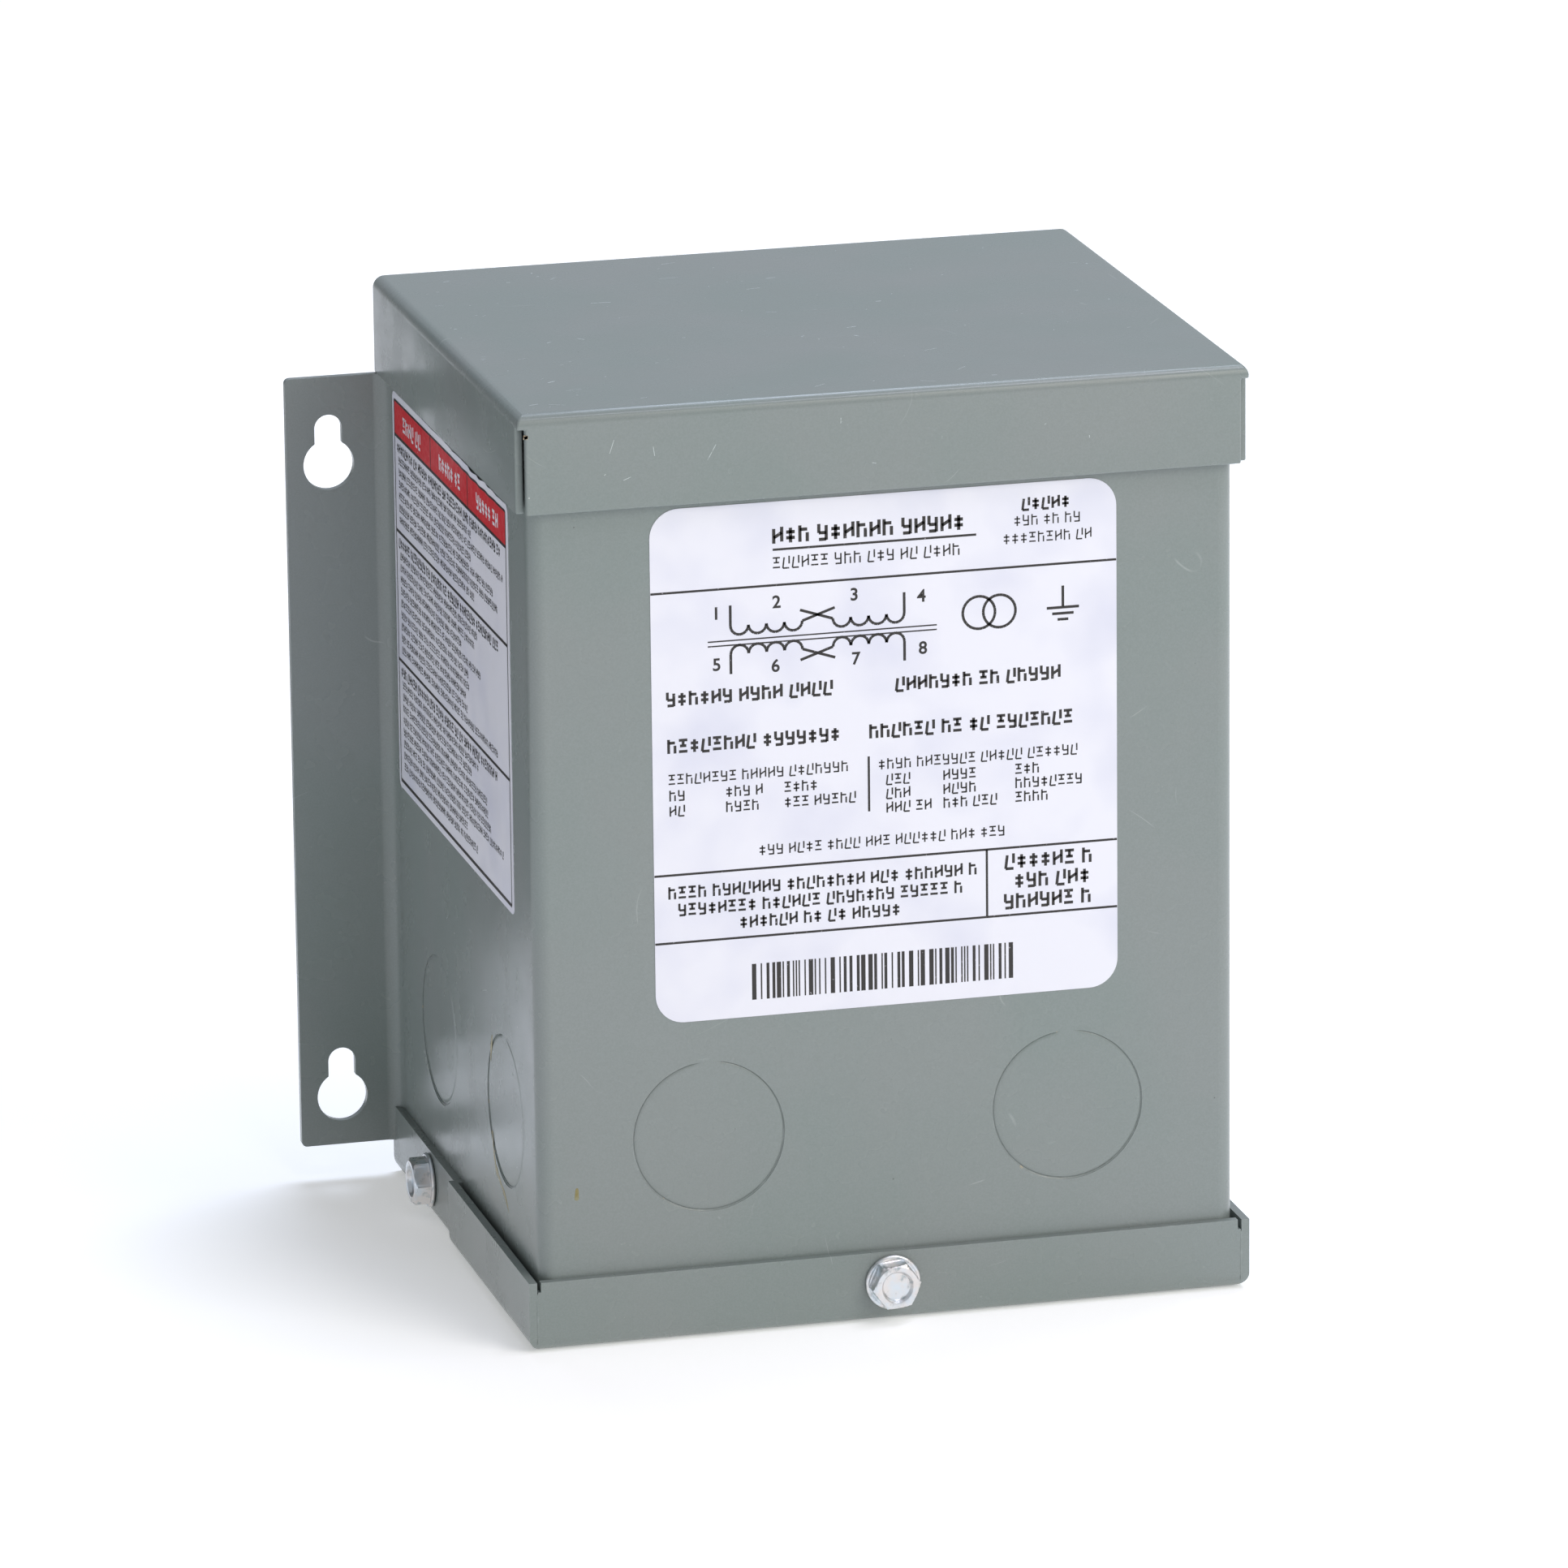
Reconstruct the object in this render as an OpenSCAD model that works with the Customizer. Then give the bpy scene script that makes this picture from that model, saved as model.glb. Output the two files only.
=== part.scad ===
// Small wall-mounted dry-type transformer in a rainproof folded sheet-steel case.
// The case is a folded body wrap with a mounting flange on each side, a back panel, a top hood with
// skirts on three sides and a screwed-on bottom cover. The winding is potted in the upper part of it.
// +Z is up, the front faces -Y and the wall plane faces +Y. The origin is the centre of the base.

/* [Body] */
// Width across the outside of the side walls
body_w = 130; // [110:0.5:180]
// Depth from the wall plane to the outside of the front
body_d = 113; // [90:0.5:160]
// Height from the base to the top of the hood
total_h = 173.5; // [165:0.5:240]
// Thickness of the sheet steel
sheet_t = 1.5; // [1:0.1:2]
// Outside radius of the two upright front corners
corner_r = 3; // [2.2:0.1:5]

/* [Mounting flanges] */
// How far each flange reaches out from the side wall
flange_w = 19.5; // [17:0.5:30]
// Height of the flange's lower end above the base
flange_foot = 6.6; // [4:0.2:10]
// Inside radius of the bend between side wall and flange
flange_bend_r = 3; // [2:0.1:4]
// Radius of the flange's free corners
flange_corner_r = 1; // [0.5:0.1:3]

/* [Keyholes] */
// Diameter of the round entry of each keyhole
entry_d = 9.6; // [8:0.1:11]
// Width of the narrow slot
slot_w = 5.2; // [4.5:0.1:6]
// How far the centre of the slot's end is above the centre of the entry
slot_rise = 6.9; // [6:0.1:10]
// Distance from the flange's free edge to the keyholes' centre line
hole_edge = 8; // [7:0.1:9]
// Height of the lower entries above the base
lower_hole_z = 16; // [15:0.1:25]
// Distance between the lower and upper entries
hole_pitch = 122.5; // [90:0.1:125]

/* [Top hood] */
// Height of the skirts, with the top sheet
skirt_h = 18.3; // [12:0.1:22]
// Gap between side wall and side skirt
skirt_side_gap = 0.7; // [0.7:0.1:2]
// Gap between the front and the front skirt
skirt_front_gap = 0.7; // [0.7:0.1:2]
// Outside bend radius of the hood, no more than the sheet and the smaller gap together
hood_r = 2.2; // [1.8:0.1:2.2]
// How far the side skirts stop short of the front skirt
skirt_corner_gap = 0.5; // [0.3:0.1:1.5]

/* [Bottom cover] */
// Height of the cover's lips above the base
lip_h = 13.2; // [11:0.1:18]
// Gap between side wall and the front part of the side lips
lip_side_gap = 1; // [0.6:0.1:1.4]
// Outside bend radius of the bottom cover
cover_r = 3; // [2.2:0.1:3]
// Distance from the wall plane to the step in the side lips
joggle_y = 52; // [42:0.5:60]
// Length over which the step overlaps
joggle_l = 1.6; // [1:0.1:3]
// Width of the slot at the top of each corner seam
slot_gap = 0.7; // [0.4:0.1:1]
// Depth of that slot
slot_depth = 1.8; // [1:0.1:3]
// Width of the seam below the slot
seam_gap = 0.15; // [0.1:0.05:0.3]
// Clearance between the side lips and the mounting flanges
tail_gap = 0.1; // [0.05:0.05:0.4]

/* [Knockouts] */
// Diameter of the knockout holes, for 3/4 inch conduit fittings
knockout_d = 28.2; // [22.2:0.1:28.6]
// Width of the sheared ring round each blank
shear_gap = 0.25; // [0.15:0.05:0.5]
// Width of the tab that holds each blank
tab_w = 2.6; // [1.5:0.1:4]
// Height of the knockouts' centres above the base
knockout_z = 37.5; // [33:0.1:45]
// Distance of the front knockouts from the centre line
front_knockout_x = 33.5; // [30:0.1:38]
// Distance from the front to the centre of the first side knockout
side_knockout_y = 25.5; // [20:0.1:30]
// Distance between the two knockouts of one side
side_knockout_pitch = 53; // [35:0.1:55]

/* [Cover screws] */
// Thread diameter, number 10
thread_d = 4.8; // [4:0.1:5.2]
// Clearance round the thread
thread_gap = 0.1; // [0.05:0.05:0.4]
// Length of the thread behind the cover's lip
thread_l = 8; // [5:0.5:12]
// Diameter of the pressed washer under the head
washer_d = 10.3; // [9.5:0.1:11]
// Thickness of that washer
washer_t = 0.9; // [0.6:0.1:1.2]
// Width across flats of the hexagon head
hex_af = 7.9; // [7:0.1:8.5]
// Height of the hexagon above the washer
hex_h = 3; // [2.5:0.1:4]
// Diameter of the round recess in the head
recess_d = 5.7; // [4.5:0.1:6]
// Depth of that recess
recess_h = 0.8; // [0.4:0.1:1.2]
// Height of the screws above the base
screw_z = 7.5; // [6.5:0.1:8]
// Distance of the side screws from the wall plane
side_screw_y = 31; // [22:0.1:34]

/* [Labels] */
// Width of the white rating plate on the front
plate_w = 86; // [60:0.5:96]
// Height of the rating plate
plate_h = 94.8; // [60:0.2:95]
// Corner radius of the rating plate
plate_r = 5.3; // [2:0.1:8]
// Thickness of the rating plate
plate_t = 0.4; // [0.2:0.05:0.6]
// Gap between the hood's skirt and the top of the rating plate
plate_drop = 1.1; // [0.5:0.1:5]
// Length of the label on the left wall
label_l = 92; // [60:0.5:96]
// Height of the label on the left wall
label_h = 76; // [50:0.2:78]
// Thickness of the label on the left wall
label_t = 0.3; // [0.2:0.05:0.5]
// Gap between the hood's skirt and the top of that label
label_drop = 2.2; // [1:0.1:6]
// Distance from the wall plane to that label's rear edge
label_inset = 5.5; // [5:0.1:10]

/* [Core and coil] */
// Height of the wiring space under the potted winding
wiring_h = 58; // [55:0.5:70]
// Gap between the potted winding and the side walls
pot_gap = 3; // [2.5:0.1:6]
// Depth of the flanges of the back panel along the side walls
panel_return = 12; // [8:0.5:16]

/* [Hidden] */
$fn = 64;
// How far a cut runs clear of the faces it starts from
past = 1;
half_w = body_w / 2;
wall_y = body_d / 2;
front_y = -body_d / 2;
// The body stands clear of the cover's bends, and its upper edges carry the hood
body_bottom = cover_r;
body_top = total_h - sheet_t;
skirt_z = total_h - skirt_h;
inner_x = half_w - sheet_t;
// Outer half width and front of the hood
hood_x = half_w + skirt_side_gap + sheet_t;
hood_front = front_y - skirt_front_gap - sheet_t;
// Outer half widths of the cover in front of and behind the step, and its front
lip_x = half_w + lip_side_gap + sheet_t;
tight_lip_x = half_w + sheet_t;
lip_front = front_y - sheet_t;
joggle_front = wall_y - joggle_y;
side_knockouts = [front_y + side_knockout_y, front_y + side_knockout_y + side_knockout_pitch];
// Plane in which the side walls start to bend into the flanges, and how far out the bends end
bend_y = wall_y - sheet_t - flange_bend_r;
bend_x = half_w + flange_bend_r;
flange_x = half_w + flange_w;
keyhole_x = flange_x - hole_edge;
panel_r = 2.5;
hex_chamfer = 0.7;
gray = "#8b9592";
light_gray = "#9aa3a1";
zinc = "#c3c8ca";

// What a round of radius r takes off a corner at the origin, for a shape that lies on its -X, -Y side
module corner_waste(r) {
    translate([-r, -r])
        difference() {
            square(r + past);
            circle(r);
        }
}

// Rectangle with its two upper corners rounded
module arched(width, height, r) {
    difference() {
        translate([-width / 2, 0])
            square([width, height]);
        for (side = [0, 1])
            mirror([side, 0])
                translate([width / 2, height])
                    corner_waste(r);
    }
}

// Extrudes an X-Z shape along Y from one plane to another
module along_y(from, to) {
    translate([0, to, 0])
        rotate([90, 0, 0])
            linear_extrude(to - from)
                children();
}

// Extrudes a Y-Z shape along X, over the given half width to each side
module along_x(half) {
    translate([-half, 0, 0])
        rotate([90, 0, 90])
            linear_extrude(2 * half)
                children();
}

// Block with its base up: rounded along its front and side upper edges, plain at the rear
module hooded_block(half_x, front, rear, height, r) {
    intersection() {
        along_y(front, rear)
            arched(2 * half_x, height, r);
        along_x(half_x + past)
            difference() {
                translate([front, 0])
                    square([rear - front, height]);
                translate([front, height])
                    mirror([1, 0])
                        corner_waste(r);
            }
    }
}

// Folded sheet: a top with skirts at the front and both sides, open at the rear
module folded_hood(half_x, front, rear, height, r) {
    difference() {
        hooded_block(half_x, front, rear, height, r);
        translate([0, 0, -past])
            hooded_block(
                half_x - sheet_t, front + sheet_t, rear + past, height - sheet_t + past, r - sheet_t
            );
    }
}

// Seen from above: front, side walls and the bends into the flanges, one sheet
module wrap_profile() {
    difference() {
        translate([-half_w, front_y])
            square([body_w, bend_y - front_y]);
        for (side = [0, 1])
            mirror([side, 0])
                translate([half_w, front_y])
                    mirror([0, 1])
                        corner_waste(corner_r);
        difference() {
            translate([-inner_x, front_y + sheet_t])
                square([2 * inner_x, body_d]);
            for (side = [0, 1])
                mirror([side, 0])
                    translate([inner_x, front_y + sheet_t])
                        mirror([0, 1])
                            corner_waste(corner_r - sheet_t);
        }
    }
}

// Seen from above: the right flange with its bend
module flange_profile() {
    translate([bend_x, wall_y - sheet_t])
        square([flange_x - bend_x, sheet_t]);
    intersection() {
        translate([bend_x, bend_y])
            difference() {
                circle(flange_bend_r + sheet_t);
                circle(flange_bend_r);
            }
        translate([inner_x, bend_y])
            square(flange_bend_r + sheet_t);
    }
}

// Keyhole through a sheet in the X-Z plane: a round entry with a slot above it
module keyhole() {
    along_y(-past, sheet_t + past) {
        circle(d = entry_d);
        translate([-slot_w / 2, 0])
            square([slot_w, slot_rise]);
        translate([0, slot_rise])
            circle(d = slot_w);
    }
}

// Places its child, drawn on the X-Z plane facing -Y, on the outside of a wall of the body
module on_front(x, z) {
    translate([x, front_y, z])
        children();
}

module on_side(side, y, z) {
    translate([side * half_w, y, z])
        rotate([0, 0, 90 * side])
            children();
}

// Places its child at each of the six knockouts
module at_knockouts() {
    for (side = [-1, 1]) {
        on_front(side * front_knockout_x, knockout_z)
            children();
        for (y = side_knockouts)
            on_side(side, y, knockout_z)
                children();
    }
}

// Places its child at each of the three cover screws
module at_screws() {
    on_front(0, screw_z)
        children();
    for (side = [-1, 1])
        on_side(side, wall_y - side_screw_y, screw_z)
            children();
}

module flange() {
    difference() {
        translate([0, 0, flange_foot])
            linear_extrude(skirt_z - flange_foot)
                flange_profile();
        for (z = [lower_hole_z, lower_hole_z + hole_pitch])
            translate([keyhole_x, wall_y - sheet_t, z])
                keyhole();
        translate([flange_x, 0, flange_foot])
            along_y(wall_y - sheet_t - past, wall_y + past)
                mirror([0, 1])
                    corner_waste(flange_corner_r);
        translate([flange_x, 0, skirt_z])
            along_y(wall_y - sheet_t - past, wall_y + past)
                corner_waste(flange_corner_r);
    }
}

module body_wrap() {
    color(gray)
        difference() {
            union() {
                translate([0, 0, body_bottom])
                    linear_extrude(body_top - body_bottom)
                        wrap_profile();
                for (side = [0, 1])
                    mirror([side, 0, 0]) {
                        flange();
                        // Straight ends of the side wall above and below the flange
                        translate([inner_x, bend_y, skirt_z])
                            cube([sheet_t, wall_y - bend_y, body_top - skirt_z]);
                        translate([inner_x, bend_y, body_bottom])
                            cube([sheet_t, wall_y - bend_y, flange_foot - body_bottom]);
                    }
            }
            at_knockouts()
                along_y(-past, sheet_t + past)
                    circle(d = knockout_d);
            at_screws()
                along_y(-past, sheet_t + past)
                    circle(d = thread_d + 2 * thread_gap);
        }
}

// Flat back with a flange along each side wall
module back_panel() {
    color(gray)
        translate([0, 0, sheet_t])
            linear_extrude(body_top - sheet_t)
                translate([0, wall_y - panel_return])
                    difference() {
                        arched(2 * inner_x, panel_return, panel_r);
                        translate([0, -past])
                            arched(2 * (inner_x - sheet_t), panel_return - sheet_t + past, panel_r - sheet_t);
                    }
}

module top_hood() {
    color(light_gray)
        difference() {
            translate([0, 0, skirt_z])
                folded_hood(hood_x, hood_front, wall_y, skirt_h, hood_r);
            // Open corners between the skirts, below the bends
            for (side = [0, 1])
                mirror([side, 0, 0])
                    translate([hood_x - sheet_t, hood_front - past, skirt_z - past])
                        cube([
                            sheet_t + past,
                            sheet_t + skirt_corner_gap + past,
                            skirt_h - hood_r - skirt_corner_gap + past
                        ]);
        }
}

// Room for a mounting flange and its bend, to be taken off the rear end of the right side lip
module flange_room() {
    translate([0, 0, flange_foot - tail_gap])
        linear_extrude(lip_h)
            difference() {
                translate([half_w, bend_y])
                    square([sheet_t + past, wall_y - bend_y + past]);
                translate([bend_x, bend_y])
                    circle(flange_bend_r - tail_gap);
            }
}

// Open seam at the right end of the front lip, with a slot at its top
module corner_seam() {
    translate([lip_x - sheet_t - seam_gap, lip_front - past, cover_r])
        cube([seam_gap, sheet_t + 2 * past, lip_h]);
    translate([lip_x - sheet_t - slot_gap, lip_front - past, lip_h - slot_depth])
        cube([slot_gap, sheet_t + 2 * past, lip_h]);
}

module bottom_cover() {
    color(gray)
        difference() {
            translate([0, 0, lip_h])
                mirror([0, 0, 1]) {
                    folded_hood(lip_x, lip_front, joggle_front + joggle_l, lip_h, cover_r);
                    // Rear part, whose lips lie against the side walls
                    along_y(joggle_front, wall_y)
                        difference() {
                            arched(2 * tight_lip_x, lip_h, cover_r);
                            translate([0, -past])
                                arched(2 * half_w, lip_h - sheet_t + past, cover_r - sheet_t);
                        }
                }
            for (side = [0, 1])
                mirror([side, 0, 0]) {
                    flange_room();
                    corner_seam();
                }
            at_screws()
                along_y(-sheet_t - past, past / 2)
                    circle(d = thread_d + 2 * thread_gap);
        }
}

// Winding and core in their potting, one block over the wiring space
module potted_winding() {
    color("#3a3a38")
        translate([-(inner_x - pot_gap), front_y + sheet_t, wiring_h])
            cube([2 * (inner_x - pot_gap), body_d - 2 * sheet_t, body_top - wiring_h]);
}

module rating_plate() {
    color("white")
        on_front(0, skirt_z - plate_drop - plate_h)
            along_y(-plate_t, 0)
                intersection() {
                    arched(plate_w, plate_h, plate_r);
                    translate([0, plate_h])
                        mirror([0, 1])
                            arched(plate_w, plate_h, plate_r);
                }
}

module side_label() {
    color("white")
        translate([-half_w - label_t, wall_y - label_inset - label_l, skirt_z - label_drop - label_h])
            cube([label_t, label_l, label_h]);
}

// Blank in a knockout hole, held by one tab at the top
module knockout() {
    color(gray)
        along_y(0, sheet_t)
            intersection() {
                circle(d = knockout_d);
                union() {
                    circle(d = knockout_d - 2 * shear_gap);
                    translate([-tab_w / 2, 0])
                        square([tab_w, knockout_d]);
                }
            }
}

module front_left_knockout() {
    on_front(-front_knockout_x, knockout_z)
        knockout();
}

module front_right_knockout() {
    on_front(front_knockout_x, knockout_z)
        knockout();
}

module left_front_knockout() {
    on_side(-1, side_knockouts[0], knockout_z)
        knockout();
}

module left_rear_knockout() {
    on_side(-1, side_knockouts[1], knockout_z)
        knockout();
}

module right_front_knockout() {
    on_side(1, side_knockouts[0], knockout_z)
        knockout();
}

module right_rear_knockout() {
    on_side(1, side_knockouts[1], knockout_z)
        knockout();
}

// Hexagon washer-head screw on the outside of a cover lip, pointing to +Y
module cover_screw() {
    color(zinc)
        translate([0, -sheet_t, 0])
            rotate([90, 0, 0])
                difference() {
                    union() {
                        translate([0, 0, -thread_l])
                            cylinder(h = thread_l, d = thread_d);
                        cylinder(h = washer_t, d = washer_d);
                        intersection() {
                            cylinder(h = washer_t + hex_h, d = hex_af / cos(30), $fn = 6);
                            cylinder(
                                h = washer_t + hex_h,
                                d1 = hex_af / cos(30) + 2 * (washer_t + hex_h) - hex_chamfer,
                                d2 = hex_af / cos(30) - hex_chamfer
                            );
                        }
                    }
                    translate([0, 0, washer_t + hex_h - recess_h])
                        cylinder(h = recess_h + past, d = recess_d);
                }
}

module front_cover_screw() {
    on_front(0, screw_z)
        cover_screw();
}

module left_cover_screw() {
    on_side(-1, wall_y - side_screw_y, screw_z)
        cover_screw();
}

module right_cover_screw() {
    on_side(1, wall_y - side_screw_y, screw_z)
        cover_screw();
}

body_wrap();
back_panel();
top_hood();
bottom_cover();
potted_winding();
rating_plate();
side_label();
front_left_knockout();
front_right_knockout();
left_front_knockout();
left_rear_knockout();
right_front_knockout();
right_rear_knockout();
front_cover_screw();
left_cover_screw();
right_cover_screw();
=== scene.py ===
"""A small wall-mounted dry-type transformer: painted steel case, printed plate and label, zinc plated screws.

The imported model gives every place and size. Each sheet of the case is a copy of its CAD piece with the small
rounding that a sheared and painted edge has. Screws, knockouts, printed films and ink are surfaces worked out here.
"""

import logging
import math
from dataclasses import dataclass
from enum import Enum
from typing import Any, Callable

import bmesh
import bpy
import numpy as np
from mathutils import Matrix, Vector


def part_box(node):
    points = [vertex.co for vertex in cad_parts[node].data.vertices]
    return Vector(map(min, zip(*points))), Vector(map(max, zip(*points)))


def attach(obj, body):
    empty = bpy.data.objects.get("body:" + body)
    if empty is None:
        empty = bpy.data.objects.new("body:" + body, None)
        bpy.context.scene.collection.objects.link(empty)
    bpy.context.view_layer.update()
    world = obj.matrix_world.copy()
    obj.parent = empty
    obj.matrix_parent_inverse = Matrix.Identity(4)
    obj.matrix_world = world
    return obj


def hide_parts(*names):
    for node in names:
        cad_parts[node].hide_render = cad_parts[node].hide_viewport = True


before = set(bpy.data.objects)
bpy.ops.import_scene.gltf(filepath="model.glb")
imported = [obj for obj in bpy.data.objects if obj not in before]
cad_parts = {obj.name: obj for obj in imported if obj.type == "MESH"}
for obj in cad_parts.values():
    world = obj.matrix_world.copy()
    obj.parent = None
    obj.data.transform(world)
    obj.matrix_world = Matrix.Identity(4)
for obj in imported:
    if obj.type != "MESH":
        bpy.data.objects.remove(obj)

MM = 0.001
BODY = "root"
LOG = logging.getLogger("transformer")
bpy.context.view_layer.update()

Array = np.ndarray
Surface = Callable[[Array, Array], Array]


class Slot(Enum):
    """The record's material slots."""

    PAINT = "case_paint"
    ZINC = "zinc_plate"
    FILM = "label_film"
    POTTING = "potting"


class Side(Enum):
    """The wall of the case that a piece sits on: its outward direction and its direction to the right."""

    FRONT = ((0.0, -1.0, 0.0), (1.0, 0.0, 0.0))
    LEFT = ((-1.0, 0.0, 0.0), (0.0, -1.0, 0.0))
    RIGHT = ((1.0, 0.0, 0.0), (0.0, 1.0, 0.0))

    def place(self, across: Array, up: Array, out: Array) -> Array:
        """Turns wall coordinates in millimetres into points in metres.

        Args:
            across: Distance along the wall, to the right when looking at it.
            up: Height above the floor.
            out: Distance from the middle plane, outwards.

        Returns:
            Points as an array of shape (..., 3).
        """
        outward, right = (np.array(v) for v in self.value)
        flat = across[..., None] * right + out[..., None] * outward
        return (flat + up[..., None] * np.array((0.0, 0.0, 1.0))) * MM

    def out_of(self, node: str) -> tuple[float, float]:
        """Nearest and farthest distance of a CAD node from the middle plane, in millimetres."""
        outward = Vector(self.value[0])
        ends = sorted(corner.dot(outward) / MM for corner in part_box(node))
        return ends[0], ends[1]

    def centre_of(self, node: str) -> tuple[float, float]:
        """Middle of a CAD node on this wall, across and up, in millimetres."""
        low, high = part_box(node)
        middle = (low + high) / 2 / MM
        return middle.dot(Vector(self.value[1])), middle.z


def linear(colour: str) -> tuple[float, float, float, float]:
    """Turns an sRGB hex colour into linear RGBA."""
    parts = np.array([int(colour[i : i + 2], 16) / 255 for i in (1, 3, 5)])
    light = np.where(parts <= 0.04045, parts / 12.92, ((parts + 0.055) / 1.055) ** 2.4)
    return (*light.tolist(), 1.0)


def add_node(tree: bpy.types.NodeTree, kind: str, settings: dict[str, Any] | None = None,
             inputs: dict[str | int, Any] | None = None) -> bpy.types.Node:
    """Adds a node to a tree.

    Args:
        tree: The node tree.
        kind: The node's type name.
        settings: Properties of the node.
        inputs: Values of its sockets; an output socket of another node is linked.

    Returns:
        The new node.
    """
    node = tree.nodes.new(kind)
    for name, value in (settings or {}).items():
        setattr(node, name, value)
    for key, value in (inputs or {}).items():
        if isinstance(value, bpy.types.NodeSocket):
            tree.links.new(value, node.inputs[key])
        else:
            node.inputs[key].default_value = value
    return node


# The colour mix node has its sockets by number, because its float and colour sockets share their names.
MIX_FACTOR, MIX_A, MIX_B, MIX_OUT = 0, 6, 7, 2


class Finish:
    """What every finish shares: one material with a Principled shader, built once."""

    name: str = "finish"

    def material(self) -> bpy.types.Material:
        """Returns the material, built at the first call."""
        found = bpy.data.materials.get(self.name)
        if found is not None:
            return found
        made = bpy.data.materials.new(self.name)
        made.use_nodes = True
        tree = made.node_tree
        tree.nodes.clear()
        shader = add_node(tree, "ShaderNodeBsdfPrincipled")
        add_node(tree, "ShaderNodeOutputMaterial", inputs={"Surface": shader.outputs[0]})
        self.paint(tree, shader)
        return made

    def paint(self, tree: bpy.types.NodeTree, shader: bpy.types.Node) -> None:
        """Sets the shader's values and patterns."""
        raise NotImplementedError

    @staticmethod
    def place(tree: bpy.types.NodeTree, stretch: tuple[float, float, float] = (1, 1, 1)) -> bpy.types.NodeSocket:
        """Object coordinates, stretched along the axes."""
        coordinates = add_node(tree, "ShaderNodeTexCoord")
        mapping = add_node(tree, "ShaderNodeMapping",
                           inputs={"Vector": coordinates.outputs["Object"], "Scale": stretch})
        return mapping.outputs[0]

    @staticmethod
    def grain(tree: bpy.types.NodeTree, place: bpy.types.NodeSocket, size: float, detail: float = 2.0,
              distortion: float = 0.0) -> bpy.types.NodeSocket:
        """Noise whose lumps are about size millimetres wide."""
        noise = add_node(tree, "ShaderNodeTexNoise", inputs={
            "Vector": place, "Scale": 1 / (size * MM), "Detail": detail, "Distortion": distortion})
        return noise.outputs["Fac"]

    @staticmethod
    def ramp(tree: bpy.types.NodeTree, value: bpy.types.NodeSocket, low: float, high: float,
             start: float = 0.0, end: float = 1.0) -> bpy.types.NodeSocket:
        """Carries low..high to start..end, held at both ends."""
        node = add_node(tree, "ShaderNodeMapRange", inputs={
            "Value": value, "From Min": low, "From Max": high, "To Min": start, "To Max": end})
        return node.outputs[0]

    @staticmethod
    def times(tree: bpy.types.NodeTree, a: bpy.types.NodeSocket, b: Any) -> bpy.types.NodeSocket:
        """Product of two values."""
        return add_node(tree, "ShaderNodeMath", {"operation": "MULTIPLY"}, {0: a, 1: b}).outputs[0]

    @staticmethod
    def blend(tree: bpy.types.NodeTree, share: Any, a: Any, b: Any) -> bpy.types.NodeSocket:
        """Colour a where share is 0 and colour b where it is 1."""
        node = add_node(tree, "ShaderNodeMix", {"data_type": "RGBA"}, {MIX_FACTOR: share, MIX_A: a, MIX_B: b})
        return node.outputs[MIX_OUT]

    @staticmethod
    def relief(tree: bpy.types.NodeTree, height: bpy.types.NodeSocket, depth: float, strength: float,
               under: bpy.types.NodeSocket | None = None) -> bpy.types.NodeSocket:
        """Bump of a depth in millimetres, on top of another bump."""
        inputs: dict[str | int, Any] = {"Height": height, "Distance": depth * MM, "Strength": strength}
        if under is not None:
            inputs["Normal"] = under
        return add_node(tree, "ShaderNodeBump", inputs=inputs).outputs[0]


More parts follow.
